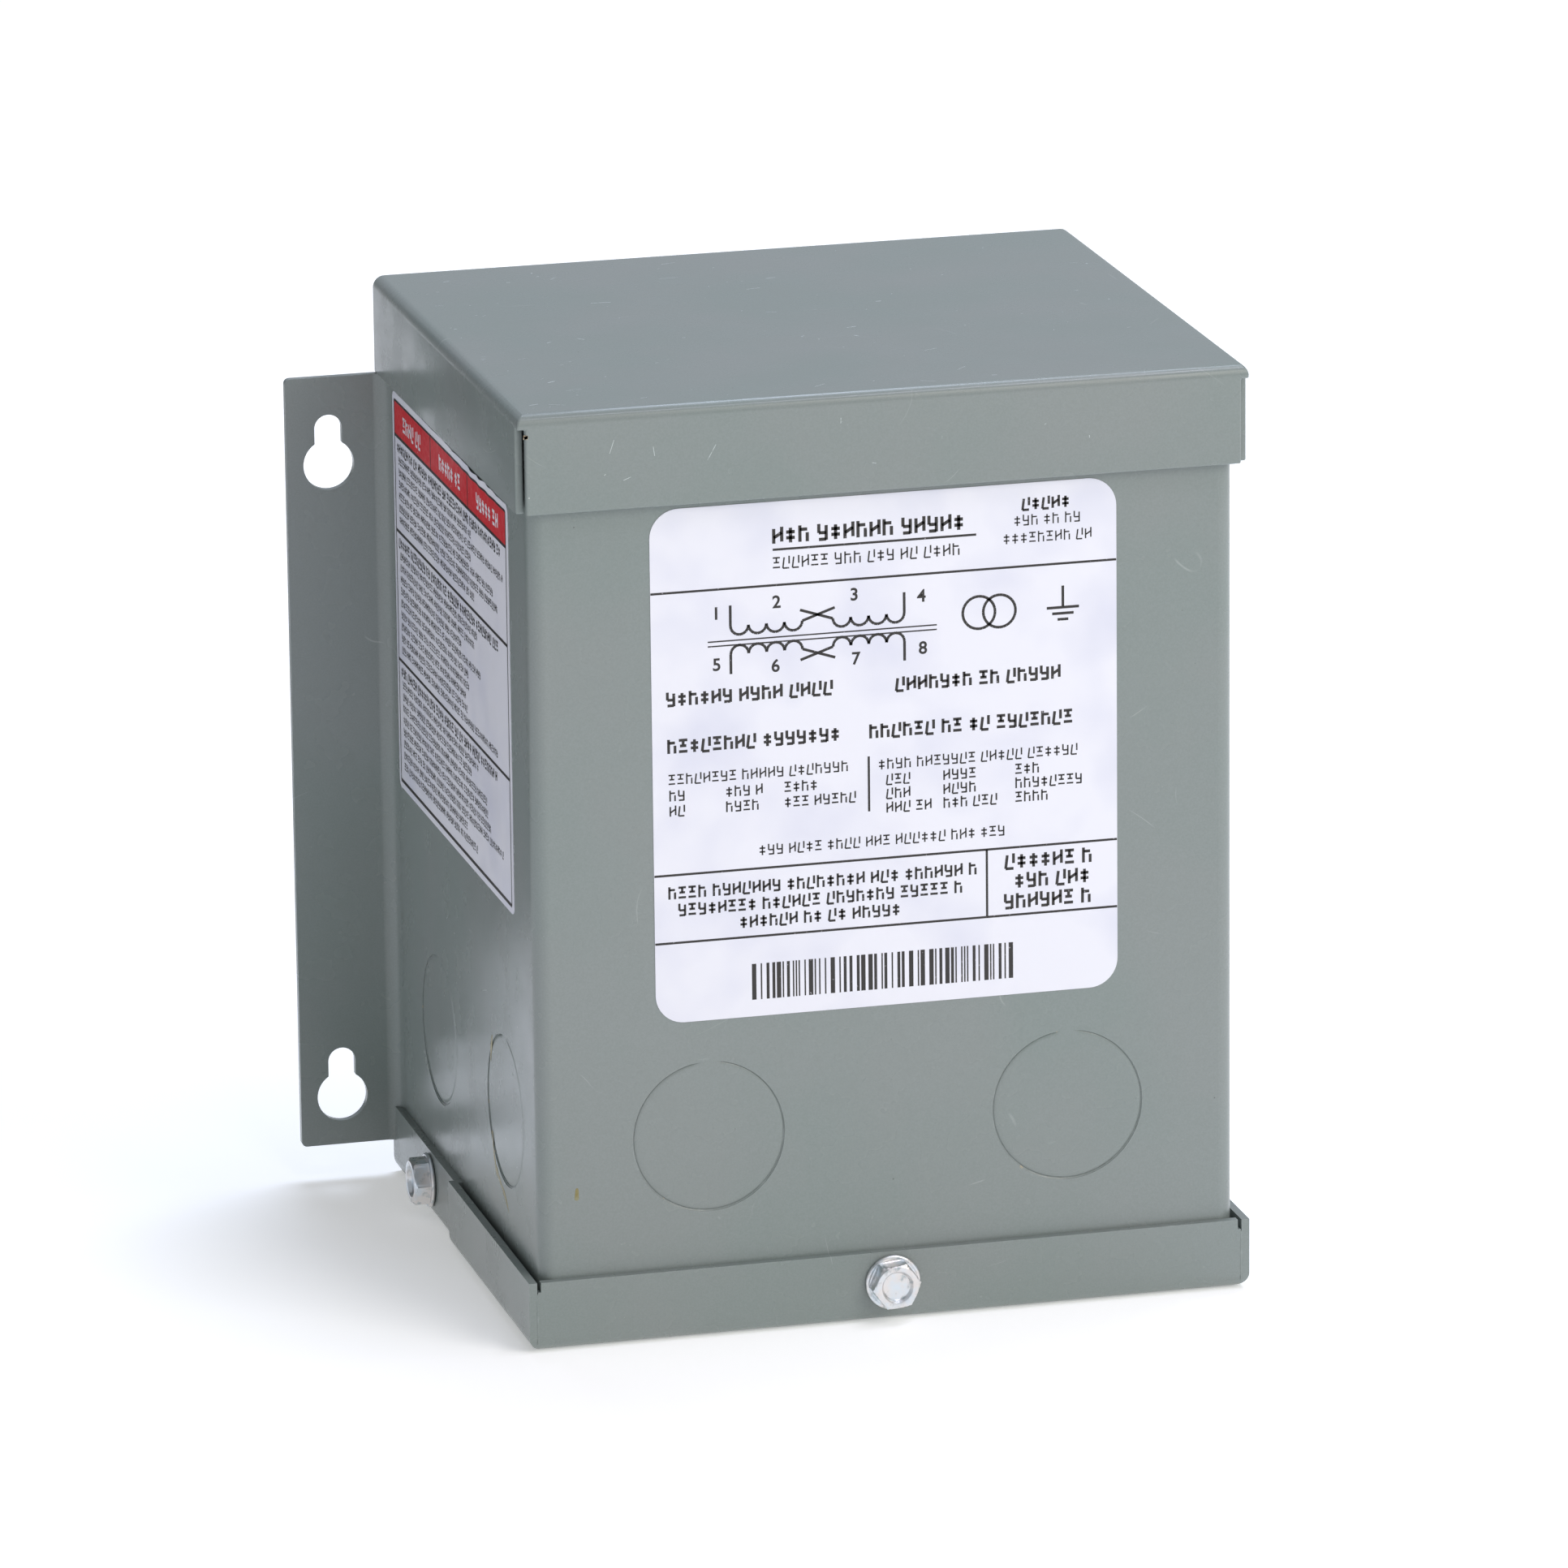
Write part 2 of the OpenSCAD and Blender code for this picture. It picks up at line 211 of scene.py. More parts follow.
@dataclass(frozen=True)
class CasePaint(Finish):
    """Baked polyester enamel on steel, sprayed: a semi-gloss grey-green coat with fine orange peel.

    The coat is even in colour and slightly cloudy, with dust nibs, hairline scuffs and thin wear at sharp edges. The
    sharp edges are also lightened as a painted highlight.
    """

    name: str = "baked_enamel_grey"
    body: str = "#7F8986"
    cloud: str = "#838A88"
    # Lighter tone for thin worn paint and for the painted edge highlight. It also lightens the speckle.
    thin_paint_and_edge_highlight: str = "#9BA3A1"
    nib: str = "#B7BDBB"
    fleck: str = "#5E6563"
    primer: str = "#B5A98F"
    cloud_mm: float = 34.0
    peel_mm: float = 1.5
    speckle_mm: float = 0.32
    nib_mm: float = 7.0
    nib_radius: float = 0.025
    roughness: float = 0.25

    def paint(self, tree: bpy.types.NodeTree, shader: bpy.types.Node) -> None:
        """Cloudy base, speckle, worn edges, nibs and scuffs, over a fine orange peel."""
        place = self.place(tree)
        cloud = self.ramp(tree, self.grain(tree, place, self.cloud_mm, 3.0), 0.38, 0.62)
        colour = self.blend(tree, cloud, linear(self.body), linear(self.cloud))
        speckle = self.grain(tree, place, self.speckle_mm, 1.0)
        lighter = self.blend(tree, self.ramp(tree, speckle, 0.3, 0.7, 0.0, 0.16), colour, linear(self.thin_paint_and_edge_highlight))

        # Worn edges and painted edge highlight: a lighter colour along sharp edges, partly thin worn paint and partly
        # painted highlight. The rounded normal differs from the true one only near an edge.
        rounded = add_node(tree, "ShaderNodeBevel", {"samples": 4}, {"Radius": 0.5 * MM})
        true_normal = add_node(tree, "ShaderNodeNewGeometry")
        same = add_node(tree, "ShaderNodeVectorMath", {"operation": "DOT_PRODUCT"},
                        {0: rounded.outputs[0], 1: true_normal.outputs["Normal"]})
        edge = self.ramp(tree, same.outputs["Value"], 0.97, 0.8)
        patchy = self.ramp(tree, self.grain(tree, place, 2.2, 4.0), 0.5, 0.68)
        worn_and_highlit = self.blend(tree, self.times(tree, self.times(tree, edge, patchy), 0.55), lighter,
                          linear(self.thin_paint_and_edge_highlight))
        chip_mask = self.ramp(tree, self.grain(tree, place, 1.6, 3.0), 0.71, 0.73)
        chipped = self.blend(tree, self.times(tree, edge, chip_mask), worn_and_highlit, linear(self.primer))

        # Dust nibs and dark flecks: the middles of a few cells.
        cells = add_node(tree, "ShaderNodeTexVoronoi", inputs={"Vector": place, "Scale": 1 / (self.nib_mm * MM)})
        near = self.ramp(tree, cells.outputs["Distance"], self.nib_radius, self.nib_radius * 0.6)
        pick = add_node(tree, "ShaderNodeSeparateColor", inputs={0: cells.outputs["Color"]})
        light_ones = self.times(tree, near, self.ramp(tree, pick.outputs[0], 0.66, 0.67))
        dark_ones = self.times(tree, near, self.ramp(tree, pick.outputs[1], 0.86, 0.87))
        nibs = self.blend(tree, light_ones, chipped, linear(self.nib))
        flecks = self.blend(tree, dark_ones, nibs, linear(self.fleck))

        # Hairline scuffs: the thin band round one level of a bent noise, kept in a few places.
        level = self.grain(tree, self.place(tree, (1.0, 0.6, 1.3)), 46.0, 1.0, 0.8)
        off = add_node(tree, "ShaderNodeMath", {"operation": "SUBTRACT"}, {0: level, 1: 0.5})
        away = add_node(tree, "ShaderNodeMath", {"operation": "ABSOLUTE"}, {0: off.outputs[0]})
        line = self.ramp(tree, away.outputs[0], 0.0016, 0.0004)
        kept = self.ramp(tree, self.grain(tree, place, 11.0, 2.0), 0.6, 0.66, 0.0, 0.35)
        scuffed = self.blend(tree, self.times(tree, line, kept), flecks, linear(self.nib))
        tree.links.new(scuffed, shader.inputs["Base Color"])

        gloss = self.ramp(tree, self.grain(tree, place, 9.0, 3.0), 0.3, 0.7, self.roughness - 0.04,
                          self.roughness + 0.05)
        tree.links.new(gloss, shader.inputs["Roughness"])
        shader.inputs["IOR"].default_value = 1.5
        peel = self.relief(tree, self.grain(tree, place, self.peel_mm, 2.0), 0.012, 0.5)
        fine = self.relief(tree, speckle, 0.006, 0.35, peel)
        raised = self.relief(tree, light_ones, 0.05, 0.8, fine)
        tree.links.new(raised, shader.inputs["Normal"])


@dataclass(frozen=True)
class ZincPlate(Finish):
    """Bright zinc electroplate with a clear chromate, on a cold-headed steel screw.

    Bluish silver with a faint warm tint in places, and soft marks of the heading die.
    """

    name: str = "bright_zinc_chromate"
    cool: str = "#DDE5EC"
    warm: str = "#E6E2E0"
    dull: str = "#A9B4B8"
    roughness: float = 0.27

    def paint(self, tree: bpy.types.NodeTree, shader: bpy.types.Node) -> None:
        """Two tints, dull spots and a fine die grain."""
        place = self.place(tree)
        tint = self.ramp(tree, self.grain(tree, place, 3.0, 3.0), 0.4, 0.6)
        colour = self.blend(tree, tint, linear(self.cool), linear(self.warm))
        dull = self.ramp(tree, self.grain(tree, place, 1.5, 4.0), 0.56, 0.72)
        tree.links.new(self.blend(tree, dull, colour, linear(self.dull)), shader.inputs["Base Color"])
        shader.inputs["Metallic"].default_value = 1.0
        gloss = self.ramp(tree, self.grain(tree, place, 1.2, 3.0), 0.3, 0.7, self.roughness, self.roughness + 0.12)
        tree.links.new(gloss, shader.inputs["Roughness"])
        relief = self.relief(tree, self.grain(tree, place, 1.6, 2.0), 0.006, 0.08)
        tree.links.new(relief, shader.inputs["Normal"])


@dataclass(frozen=True)
class PolyesterFilm(Finish):
    """White coated polyester label film, satin, calendered: smooth with a slightly cold white."""

    name: str = "white_polyester_film"
    sheet: str = "#E9E9F1"
    shade: str = "#DCDDEA"
    roughness: float = 0.38

    def paint(self, tree: bpy.types.NodeTree, shader: bpy.types.Node) -> None:
        """An even white with faint bluish clouds and a very fine coat grain."""
        place = self.place(tree)
        cloud = self.ramp(tree, self.grain(tree, place, 15.0, 2.0), 0.45, 0.75)
        tree.links.new(self.blend(tree, cloud, linear(self.sheet), linear(self.shade)), shader.inputs["Base Color"])
        gloss = self.ramp(tree, self.grain(tree, place, 4.0, 2.0), 0.3, 0.7, self.roughness - 0.04,
                          self.roughness + 0.06)
        tree.links.new(gloss, shader.inputs["Roughness"])
        shader.inputs["IOR"].default_value = 1.48
        relief = self.relief(tree, self.grain(tree, place, 0.4, 2.0), 0.003, 0.3)
        tree.links.new(relief, shader.inputs["Normal"])


@dataclass(frozen=True)
class PrintedInk(Finish):
    """Thermal transfer resin ink: a thin satin coat with pinholes where the ribbon missed the film."""

    name: str = "black_transfer_ink"
    ink: str = "#2B2826"
    missed: str = "#8E8C90"
    miss_from: float = 0.66

    def paint(self, tree: bpy.types.NodeTree, shader: bpy.types.Node) -> None:
        """Ink with a slightly uneven density and a few misses."""
        place = self.place(tree)
        missing = self.ramp(tree, self.grain(tree, place, 0.7, 4.0), self.miss_from, self.miss_from + 0.05)
        tree.links.new(self.blend(tree, missing, linear(self.ink), linear(self.missed)), shader.inputs["Base Color"])
        gloss = self.ramp(tree, self.grain(tree, place, 1.2, 2.0), 0.3, 0.7, 0.4, 0.55)
        tree.links.new(gloss, shader.inputs["Roughness"])
        tree.links.new(self.relief(tree, missing, 0.004, 0.4), shader.inputs["Normal"])


@dataclass(frozen=True)
class PottingCompound(Finish):
    """Epoxy and silica sand, poured: dark brown-black, matt, with sand grains and a few pores."""

    name: str = "epoxy_sand_potting"
    resin: str = "#2A2623"
    sand: str = "#4B443B"

    def paint(self, tree: bpy.types.NodeTree, shader: bpy.types.Node) -> None:
        """Sand grains of about half a millimetre in dark resin."""
        place = self.place(tree)
        grains = add_node(tree, "ShaderNodeTexVoronoi", inputs={"Vector": place, "Scale": 1 / (0.6 * MM)})
        share = self.ramp(tree, grains.outputs["Distance"], 0.5, 0.15)
        tree.links.new(self.blend(tree, share, linear(self.resin), linear(self.sand)), shader.inputs["Base Color"])
        gloss = self.ramp(tree, self.grain(tree, place, 5.0, 3.0), 0.3, 0.7, 0.5, 0.8)
        tree.links.new(gloss, shader.inputs["Roughness"])
        tree.links.new(self.relief(tree, share, 0.1, 0.6), shader.inputs["Normal"])


@dataclass(frozen=True)
class VarnishRun(Finish):
    """Impregnating varnish that ran out of the case and cured: clear amber, glossy, uneven in depth."""

    name: str = "amber_varnish"
    thin: str = "#8A8766"
    thick: str = "#807338"

    def paint(self, tree: bpy.types.NodeTree, shader: bpy.types.Node) -> None:
        """Amber that is deeper where the run is thicker."""
        place = self.place(tree)
        depth = self.ramp(tree, self.grain(tree, place, 1.1, 3.0), 0.35, 0.65)
        tree.links.new(self.blend(tree, depth, linear(self.thin), linear(self.thick)), shader.inputs["Base Color"])
        gloss = self.ramp(tree, depth, 0.0, 1.0, 0.28, 0.14)
        tree.links.new(gloss, shader.inputs["Roughness"])
        tree.links.new(self.relief(tree, depth, 0.03, 0.5), shader.inputs["Normal"])


@dataclass(frozen=True)
class StudioFloor(Finish):
    """Pale matt studio paper on a light table, which lifts it towards white."""

    name: str = "pale_studio_paper"
    paper: str = "#FBFBFB"
    glow: float = 0.32

    def paint(self, tree: bpy.types.NodeTree, shader: bpy.types.Node) -> None:
        """An even pale sheet."""
        shader.inputs["Base Color"].default_value = linear(self.paper)
        shader.inputs["Roughness"].default_value = 0.9
        shader.inputs["Specular IOR Level"].default_value = 0.1
        shader.inputs["Emission Color"].default_value = linear(self.paper)
        shader.inputs["Emission Strength"].default_value = self.glow


def finish_piece(piece: bpy.types.Object, coat: Finish, stands_for: tuple[str, ...] = ()) -> None:
    """Gives a piece its material and its body, and reports it.

    Args:
        piece: The finished object.
        coat: The finish.
        stands_for: CAD nodes that the piece replaces.
    """
    piece.data.materials.clear()
    piece.data.materials.append(coat.material())
    if stands_for:
        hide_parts(*stands_for)
    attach(piece, BODY)
    LOG.info("%s: %d faces, %s", piece.name, len(piece.data.polygons), coat.name)


def mesh_piece(name: str, points: Array, faces: Array, smooth_deg: float = 40.0) -> bpy.types.Object:
    """Makes an object from points in metres and quads, smooth up to an angle.

    Args:
        name: The piece's name.
        points: Array of shape (n, 3).
        faces: Array of shape (m, 4).
        smooth_deg: Edges sharper than this stay sharp.

    Returns:
        The linked object, at the origin.
    """
    mesh = bpy.data.meshes.new(name)
    mesh.from_pydata(points.reshape(-1, 3).tolist(), [], faces.tolist())
    work = bmesh.new()
    work.from_mesh(mesh)
    bmesh.ops.remove_doubles(work, verts=work.verts, dist=1e-7)
    bmesh.ops.dissolve_degenerate(work, edges=work.edges, dist=1e-7)
    work.to_mesh(mesh)
    work.free()
    mesh.shade_smooth()
    mesh.set_sharp_from_angle(angle=math.radians(smooth_deg))
    piece = bpy.data.objects.new(name, mesh)
    bpy.context.scene.collection.objects.link(piece)
    return piece


def grid_faces(rows: int, columns: int, wrap: bool = False, flip: bool = False) -> Array:
    """Quads of a grid of points: each cell joins its four corners, row by row.

    Args:
        rows: Points along the first parameter.
        columns: Points along the second one.
        wrap: Joins the last column to the first.
        flip: Turns the faces round.

    Returns:
        Array of shape (cells, 4).
    """
    i, j = np.meshgrid(np.arange(rows - 1), np.arange(columns if wrap else columns - 1), indexing="ij")
    after = (j + 1) % columns
    quads = np.stack([i * columns + j, i * columns + after, (i + 1) * columns + after, (i + 1) * columns + j], -1)
    quads = quads.reshape(-1, 4)
    return quads[:, ::-1] if flip else quads


def rounded_copy(node: str, name: str, edge: float, clamp: bool, sharp_deg: float = 38.0) -> bpy.types.Object:
    """A copy of a CAD piece whose sharp edges are rounded, as a sheared edge is under paint.

    Args:
        node: The CAD node.
        name: The new piece's name.
        edge: Width of the rounding in millimetres.
        clamp: Holds the width back where edges stand close together.
        sharp_deg: Edges that turn more than this are rounded.

    Returns:
        The new object.
    """
    work = bmesh.new()
    work.from_mesh(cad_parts[node].data)
    bmesh.ops.remove_doubles(work, verts=work.verts, dist=1e-6)
    bmesh.ops.dissolve_limit(work, angle_limit=math.radians(0.4), verts=work.verts, edges=work.edges)
    mesh = bpy.data.meshes.new(name)
    work.to_mesh(mesh)
    work.free()
    mesh.shade_smooth()
    mesh.set_sharp_from_angle(angle=math.radians(sharp_deg))
    piece = bpy.data.objects.new(name, mesh)
    bpy.context.scene.collection.objects.link(piece)
    rounding = piece.modifiers.new("edge_rounding", "BEVEL")
    rounding.width = edge * MM
    rounding.segments = 3
    rounding.limit_method = "ANGLE"
    rounding.angle_limit = math.radians(sharp_deg)
    rounding.use_clamp_overlap = clamp
    rounding.harden_normals = True
    return piece


@dataclass(frozen=True)
class SheetPart:
    """One folded sheet of the case."""

    node: str
    name: str
    edge: float
    clamp: bool

    def build(self) -> bpy.types.Object:
        """Makes the sheet with rounded edges."""
        return rounded_copy(self.node, self.name, self.edge, self.clamp)

    def dress(self, piece: bpy.types.Object) -> None:
        """Paints the sheet."""
        finish_piece(piece, CasePaint(), (self.node,))


@dataclass(frozen=True)
class Case:
    """The painted case: body with flanges, back panel, rain hood and wiring cover."""

    sheets: tuple[SheetPart, ...] = (
        SheetPart("body_wrap", "case_body", 0.15, True),
        SheetPart("back_panel", "case_back", 0.3, False),
        SheetPart("top_hood", "rain_hood", 0.35, False),
        SheetPart("bottom_cover", "wiring_cover", 0.15, True),
    )

    def build(self) -> list[tuple[SheetPart, bpy.types.Object]]:
        """Makes every sheet."""
        return [(sheet, sheet.build()) for sheet in self.sheets]

    def seams(self) -> list[bpy.types.Object]:
        """Beads of enamel that close the two corner seams of the cover's front, below the slots.

        Each is a flat ellipse of a half width and a depth, carried up the seam. Its size follows the root of the
        sine of the way along, so both ends close.
        """
        low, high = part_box("bottom_cover")
        half, deep, inset = 0.2, 0.07, 1.575
        rise, turn = np.linspace(0, 1, 40), np.linspace(0, 2 * math.pi, 16, endpoint=False)
        size = np.sqrt(np.clip(np.sin(np.pi * rise), 0, None))[:, None]
        height = (low.z / MM + 1.2 + rise[:, None] * (high.z / MM - low.z / MM - 3.1)) + 0 * turn
        pieces = []
        for name, middle in (("left", low.x / MM + inset), ("right", high.x / MM - inset)):
            points = Side.FRONT.place(middle + half * size * np.cos(turn), height,
                                      58.0 + deep * size * np.sin(turn))
            bead = mesh_piece(f"cover_seam_{name}", points, grid_faces(len(rise), len(turn), wrap=True), 80.0)
            pieces.append(bead)
        return pieces

    def dress(self, pieces: list[tuple[SheetPart, bpy.types.Object]]) -> None:
        """Paints every sheet."""
        for sheet, piece in pieces:
            sheet.dress(piece)
        for bead in self.seams():
            finish_piece(bead, CasePaint())


@dataclass(frozen=True)
class Knockout:
    """A round blank lanced out of the wall, held by one tab at the top and pushed slightly in at the bottom.

    Enamel has filled the shear gap, so a soft groove runs round the blank and rises to the wall's face.
    """

    node: str
    side: Side
    roll: float = 1.0
    roll_depth: float = 0.24
    sunk: float = 0.14
    tab_half: float = 2.1
    groove_in: float = 0.1
    groove_rise: float = 0.7
    spokes: int = 144
    rings: int = 12

    def build(self) -> bpy.types.Object:
        """Makes the blank as a surface of two parameters.

        The profile goes from the middle of the face out to its rolled edge, up the enamel to the wall's face and
        back along the inner face. The roll is a quarter cosine, and the enamel rises as a squared cosine. The
        groove's depth fades at the tab with a logistic curve of the distance from it. The face tilts, so its depth
        grows in proportion to the distance below the tab.
        """
        near, far = self.side.out_of(self.node)
        across, up = self.side.centre_of(self.node)
        low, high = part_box(self.node)
        radius = (high.z - low.z) / 2 / MM
        thick = far - near
        turn = np.linspace(0, 2 * math.pi, self.spokes, endpoint=False)
        bow = np.linspace(0, math.pi / 2, self.rings)
        groove = radius - self.groove_in
        face = np.linspace(0, groove - self.roll, self.rings)
        rolled = groove - self.roll + self.roll * np.sin(bow[1:])
        rise = groove + self.groove_rise * bow[1:] / bow[-1]
        along = np.concatenate([face, rolled, rise, [radius, radius, 0.0]])
        dip = np.concatenate([0 * face, 1 - np.cos(bow[1:]), np.cos(bow[1:]) ** 2, [0.0, 0.0, 0.0]])
        tilt = np.concatenate([0 * face + 1, 0 * rolled + 1, np.cos(bow[1:]) ** 2, [0.0, 0.0, 0.0]])
        behind = np.concatenate([0 * face, 0 * rolled, 0 * rise, [self.roll_depth, thick, thick]])
        from_tab = np.abs((turn - math.pi / 2 + math.pi) % (2 * math.pi) - math.pi) * radius
        tab = 1 / (1 + np.exp((from_tab - self.tab_half) / 0.25))
        x, z = along[:, None] * np.cos(turn), along[:, None] * np.sin(turn)
        lower = (radius - z) / (2 * radius)
        depth = self.roll_depth * dip[:, None] * (1 - tab) + self.sunk * lower * tilt[:, None] + behind[:, None]
        points = self.side.place(across + x, up + z, far - depth + 0.004)
        return mesh_piece(self.node + "_blank", points, grid_faces(len(along), self.spokes, wrap=True), 50.0)

    def dress(self, piece: bpy.types.Object) -> None:
        """Paints the blank with the case's enamel."""
        finish_piece(piece, CasePaint(), (self.node,))


@dataclass(frozen=True)
class WasherScrew:
    """A cold-headed hex washer screw: rounded washer, hexagon with a turned chamfer, dished recess."""

    node: str
    side: Side
    flats: float = 7.9
    washer: float = 5.12
    washer_thick: float = 0.85
    head: float = 3.0
    recess: float = 2.85
    recess_deep: float = 0.8
    turned_deg: float = 0.0
    spokes: int = 144

    def build(self) -> bpy.types.Object:
        """Makes the head as a profile carried round the screw's axis.

        Each profile point has a round radius and a height. On the hexagon the radius is the smaller of the flat's
        distance, apothem over the cosine of the angle from its middle, and the chamfer's round radius.
        """
        near, far = self.side.out_of(self.node)
        across, up = self.side.centre_of(self.node)
        base = far - self.washer_thick - self.head
        top = far - 0.02
        turn = np.linspace(0, 2 * math.pi, self.spokes, endpoint=False)
        flat_part = self.flats / 2 / np.cos((turn % (math.pi / 3)) - math.pi / 6)
        shank = 2.35
        rim_r = 0.4
        # washer: underside, rounded rim, dished upper face, small fillet to the hexagon
        rim = np.linspace(-math.pi / 2, math.pi / 2, 9)
        dished = np.array([0.0, 0.5, 1.0])
        round_r = np.concatenate([[0.0, shank, shank], self.washer - rim_r + rim_r * np.cos(rim),
                                  self.washer - rim_r - 0.5 * dished])
        round_h = np.concatenate([[near, near, base], base + self.washer_thick / 2 + rim_r * np.sin(rim),
                                  base + self.washer_thick / 2 + rim_r - 0.1 * dished])
        ring = np.repeat(round_r[:, None], self.spokes, 1)
        ring_h = np.repeat(round_h[:, None], self.spokes, 1)
        # hexagon: fillet at its foot, straight flats, turned chamfer
        foot = np.linspace(0, 1, 4)
        hex_r = [flat_part + 0.35 * (1 - s) ** 2 for s in foot]
        hex_h = [np.full_like(turn, base + self.washer_thick - 0.1 + 0.35 * s ** 2) for s in foot]
        lift = np.array([0.84, 0.91, 0.97, 1.0])
        cone = self.flats / 2 + (1 - lift) * 4.4 - 0.1
        hex_r += [np.minimum(flat_part, c) for c in cone]
        hex_h += [np.full_like(turn, base + self.washer_thick + (top - base - self.washer_thick) * s) for s in lift]
        # recess: rounded lip, sloping wall, dished floor
        lip = np.array([self.recess + 0.35, self.recess + 0.12, self.recess, self.recess - 0.12,
                        self.recess - 0.35, self.recess * 0.55, 0.0])
        deep = np.array([0.0, 0.06, 0.2, self.recess_deep * 0.7, self.recess_deep, self.recess_deep * 1.05,
                         self.recess_deep * 1.1])
        dish = np.repeat(lip[:, None], self.spokes, 1)
        dish_h = np.repeat((top - deep)[:, None], self.spokes, 1)
        r = np.concatenate([ring, np.array(hex_r), dish])
        h = np.concatenate([ring_h, np.array(hex_h), dish_h])
        set_turn = turn + math.radians(self.turned_deg)
        points = self.side.place(across + r * np.cos(set_turn), up + r * np.sin(set_turn), h)
        return mesh_piece(self.node + "_head", points, grid_faces(len(r), self.spokes, wrap=True), 32.0)

    def dress(self, piece: bpy.types.Object) -> None:
        """Plates the screw."""
        finish_piece(piece, ZincPlate(), (self.node,))


@dataclass(frozen=True)
class Stroke:
    """One straight stroke of print, in millimetres on the film."""

    x0: float
    y0: float
    x1: float
    y1: float
    width: float


def ink_mesh(name: str, strokes: list[Stroke], surface: Surface, cuts: int = 1) -> bpy.types.Object:
    """Ink strokes as flat quads that lie on a surface.

    Each stroke is a rectangle about its middle line: its ends plus and minus half a width across. It is cut along
    its length so that it follows a wavy film.

    Args:
        name: The piece's name.
        strokes: The strokes.
        surface: Turns film coordinates into points.
        cuts: Cells along each stroke.

    Returns:
        The ink object.
    """
    data = np.array([[s.x0, s.y0, s.x1, s.y1, s.width] for s in strokes])
    start, end = data[:, 0:2], data[:, 2:4]
    along = end - start
    length = np.linalg.norm(along, axis=1, keepdims=True)
    across = np.stack([-along[:, 1], along[:, 0]], 1) / length * data[:, 4:5] / 2
    share = np.linspace(0, 1, cuts + 1)[None, :, None]
    middle = start[:, None, :] + along[:, None, :] * share
    rails = np.stack([middle - across[:, None, :], middle + across[:, None, :]], 2)
    flat = rails.reshape(-1, 2)
    points = surface(flat[:, 0], flat[:, 1])
    first = (np.arange(len(strokes))[:, None] * (cuts + 1) + np.arange(cuts)[None, :]).reshape(-1) * 2
    faces = np.stack([first, first + 2, first + 3, first + 1], 1)
    mesh = bpy.data.meshes.new(name)
    mesh.from_pydata(points.tolist(), [], faces.tolist())
    piece = bpy.data.objects.new(name, mesh)
    bpy.context.scene.collection.objects.link(piece)
    return piece


def arc_strokes(x: float, y: float, radius: float, start: float, end: float, width: float, n: int) -> list[Stroke]:
    """An arc as short strokes, from one angle in degrees to another."""
    turn = np.radians(np.linspace(start, end, n + 1))
    px, py = x + radius * np.cos(turn), y + radius * np.sin(turn)
    return [Stroke(px[i], py[i], px[i + 1], py[i + 1], width) for i in range(n)]


# Marks that stand in for words: each is a few strokes in a unit cell and is no letter of any alphabet used here.
MARKS: tuple[tuple[tuple[float, float, float, float], ...], ...] = (
    ((0.1, 0.0, 0.1, 0.9), (0.75, 0.1, 0.75, 1.0), (0.1, 0.35, 0.75, 0.65)),
    ((0.0, 0.9, 0.8, 0.9), (0.1, 0.5, 0.7, 0.5), (0.0, 0.1, 0.8, 0.1), (0.4, 0.5, 0.4, 0.9)),
    ((0.1, 0.0, 0.1, 1.0), (0.1, 0.75, 0.7, 0.75), (0.7, 0.0, 0.7, 0.55)),
    ((0.1, 0.45, 0.1, 1.0), (0.7, 0.0, 0.7, 0.9), (0.1, 0.45, 0.7, 0.45), (0.1, 0.05, 0.7, 0.05)),
    ((0.4, 0.0, 0.4, 0.9), (0.05, 0.65, 0.75, 0.65), (0.05, 0.3, 0.75, 0.3)),
    ((0.05, 0.0, 0.75, 0.0), (0.05, 0.0, 0.2, 0.9), (0.75, 0.35, 0.75, 1.0)),
)


def mark_row(x0: float, x1: float, y: float, height: float, seed: int, bold: float = 0.17) -> list[Stroke]:
    """A row of stand-in marks in word-like groups.

    Args:
        x0: Left end.
        x1: Right end.
        y: Middle height.
        height: Height of a mark.
        seed: Chooses the marks and the groups.
        bold: Stroke width as a share of the height.

    Returns:
        The strokes.
    """
    draw = np.random.default_rng(seed)
    strokes: list[Stroke] = []
    pitch, x = height * 0.8, x0
    left_in_group = int(draw.integers(3, 9))
    while x + pitch * 0.8 <= x1:
        if left_in_group == 0:
            left_in_group = int(draw.integers(2, 10))
            x += pitch * 0.45
            continue
        mark = MARKS[int(draw.integers(0, len(MARKS)))]
        strokes += [Stroke(x + a * height * 0.75, y + (b - 0.5) * height, x + c * height * 0.75,
                           y + (d - 0.5) * height, height * bold) for a, b, c, d in mark]
        x += pitch
        left_in_group -= 1
    return strokes


def film_mesh(name: str, x: Array, y: Array, surface: Surface, thick: float) -> bpy.types.Object:
    """A thin closed film over a grid of film coordinates.

    The outer face is the surface at the grid's points. The back face is the same grid set back by the film's
    thickness, and a rim of quads joins their four edges.

    Args:
        name: The piece's name.
        x: Grid of widths, in millimetres.
        y: Grid of heights.
        surface: Gives the film's outer face.
        thick: The film's thickness.

    Returns:
        The film object.
    """
    rows, columns = x.shape
    front = surface(x, y)
    back = front - surface_normal(surface, (float(x.mean()), float(y.mean()))) * thick * MM
    edge = np.concatenate([np.arange(columns), np.arange(1, rows) * columns + columns - 1,
                           rows * columns - 2 - np.arange(columns - 1), np.arange(rows - 2, 0, -1) * columns])
    after = np.roll(edge, -1)
    total = rows * columns
    rim = np.stack([edge, edge + total, after + total, after], 1)
    cells = grid_faces(rows, columns)
    faces = np.concatenate([cells, cells[:, ::-1] + total, rim])
    return mesh_piece(name, np.concatenate([front.reshape(-1, 3), back.reshape(-1, 3)]), faces, 60.0)


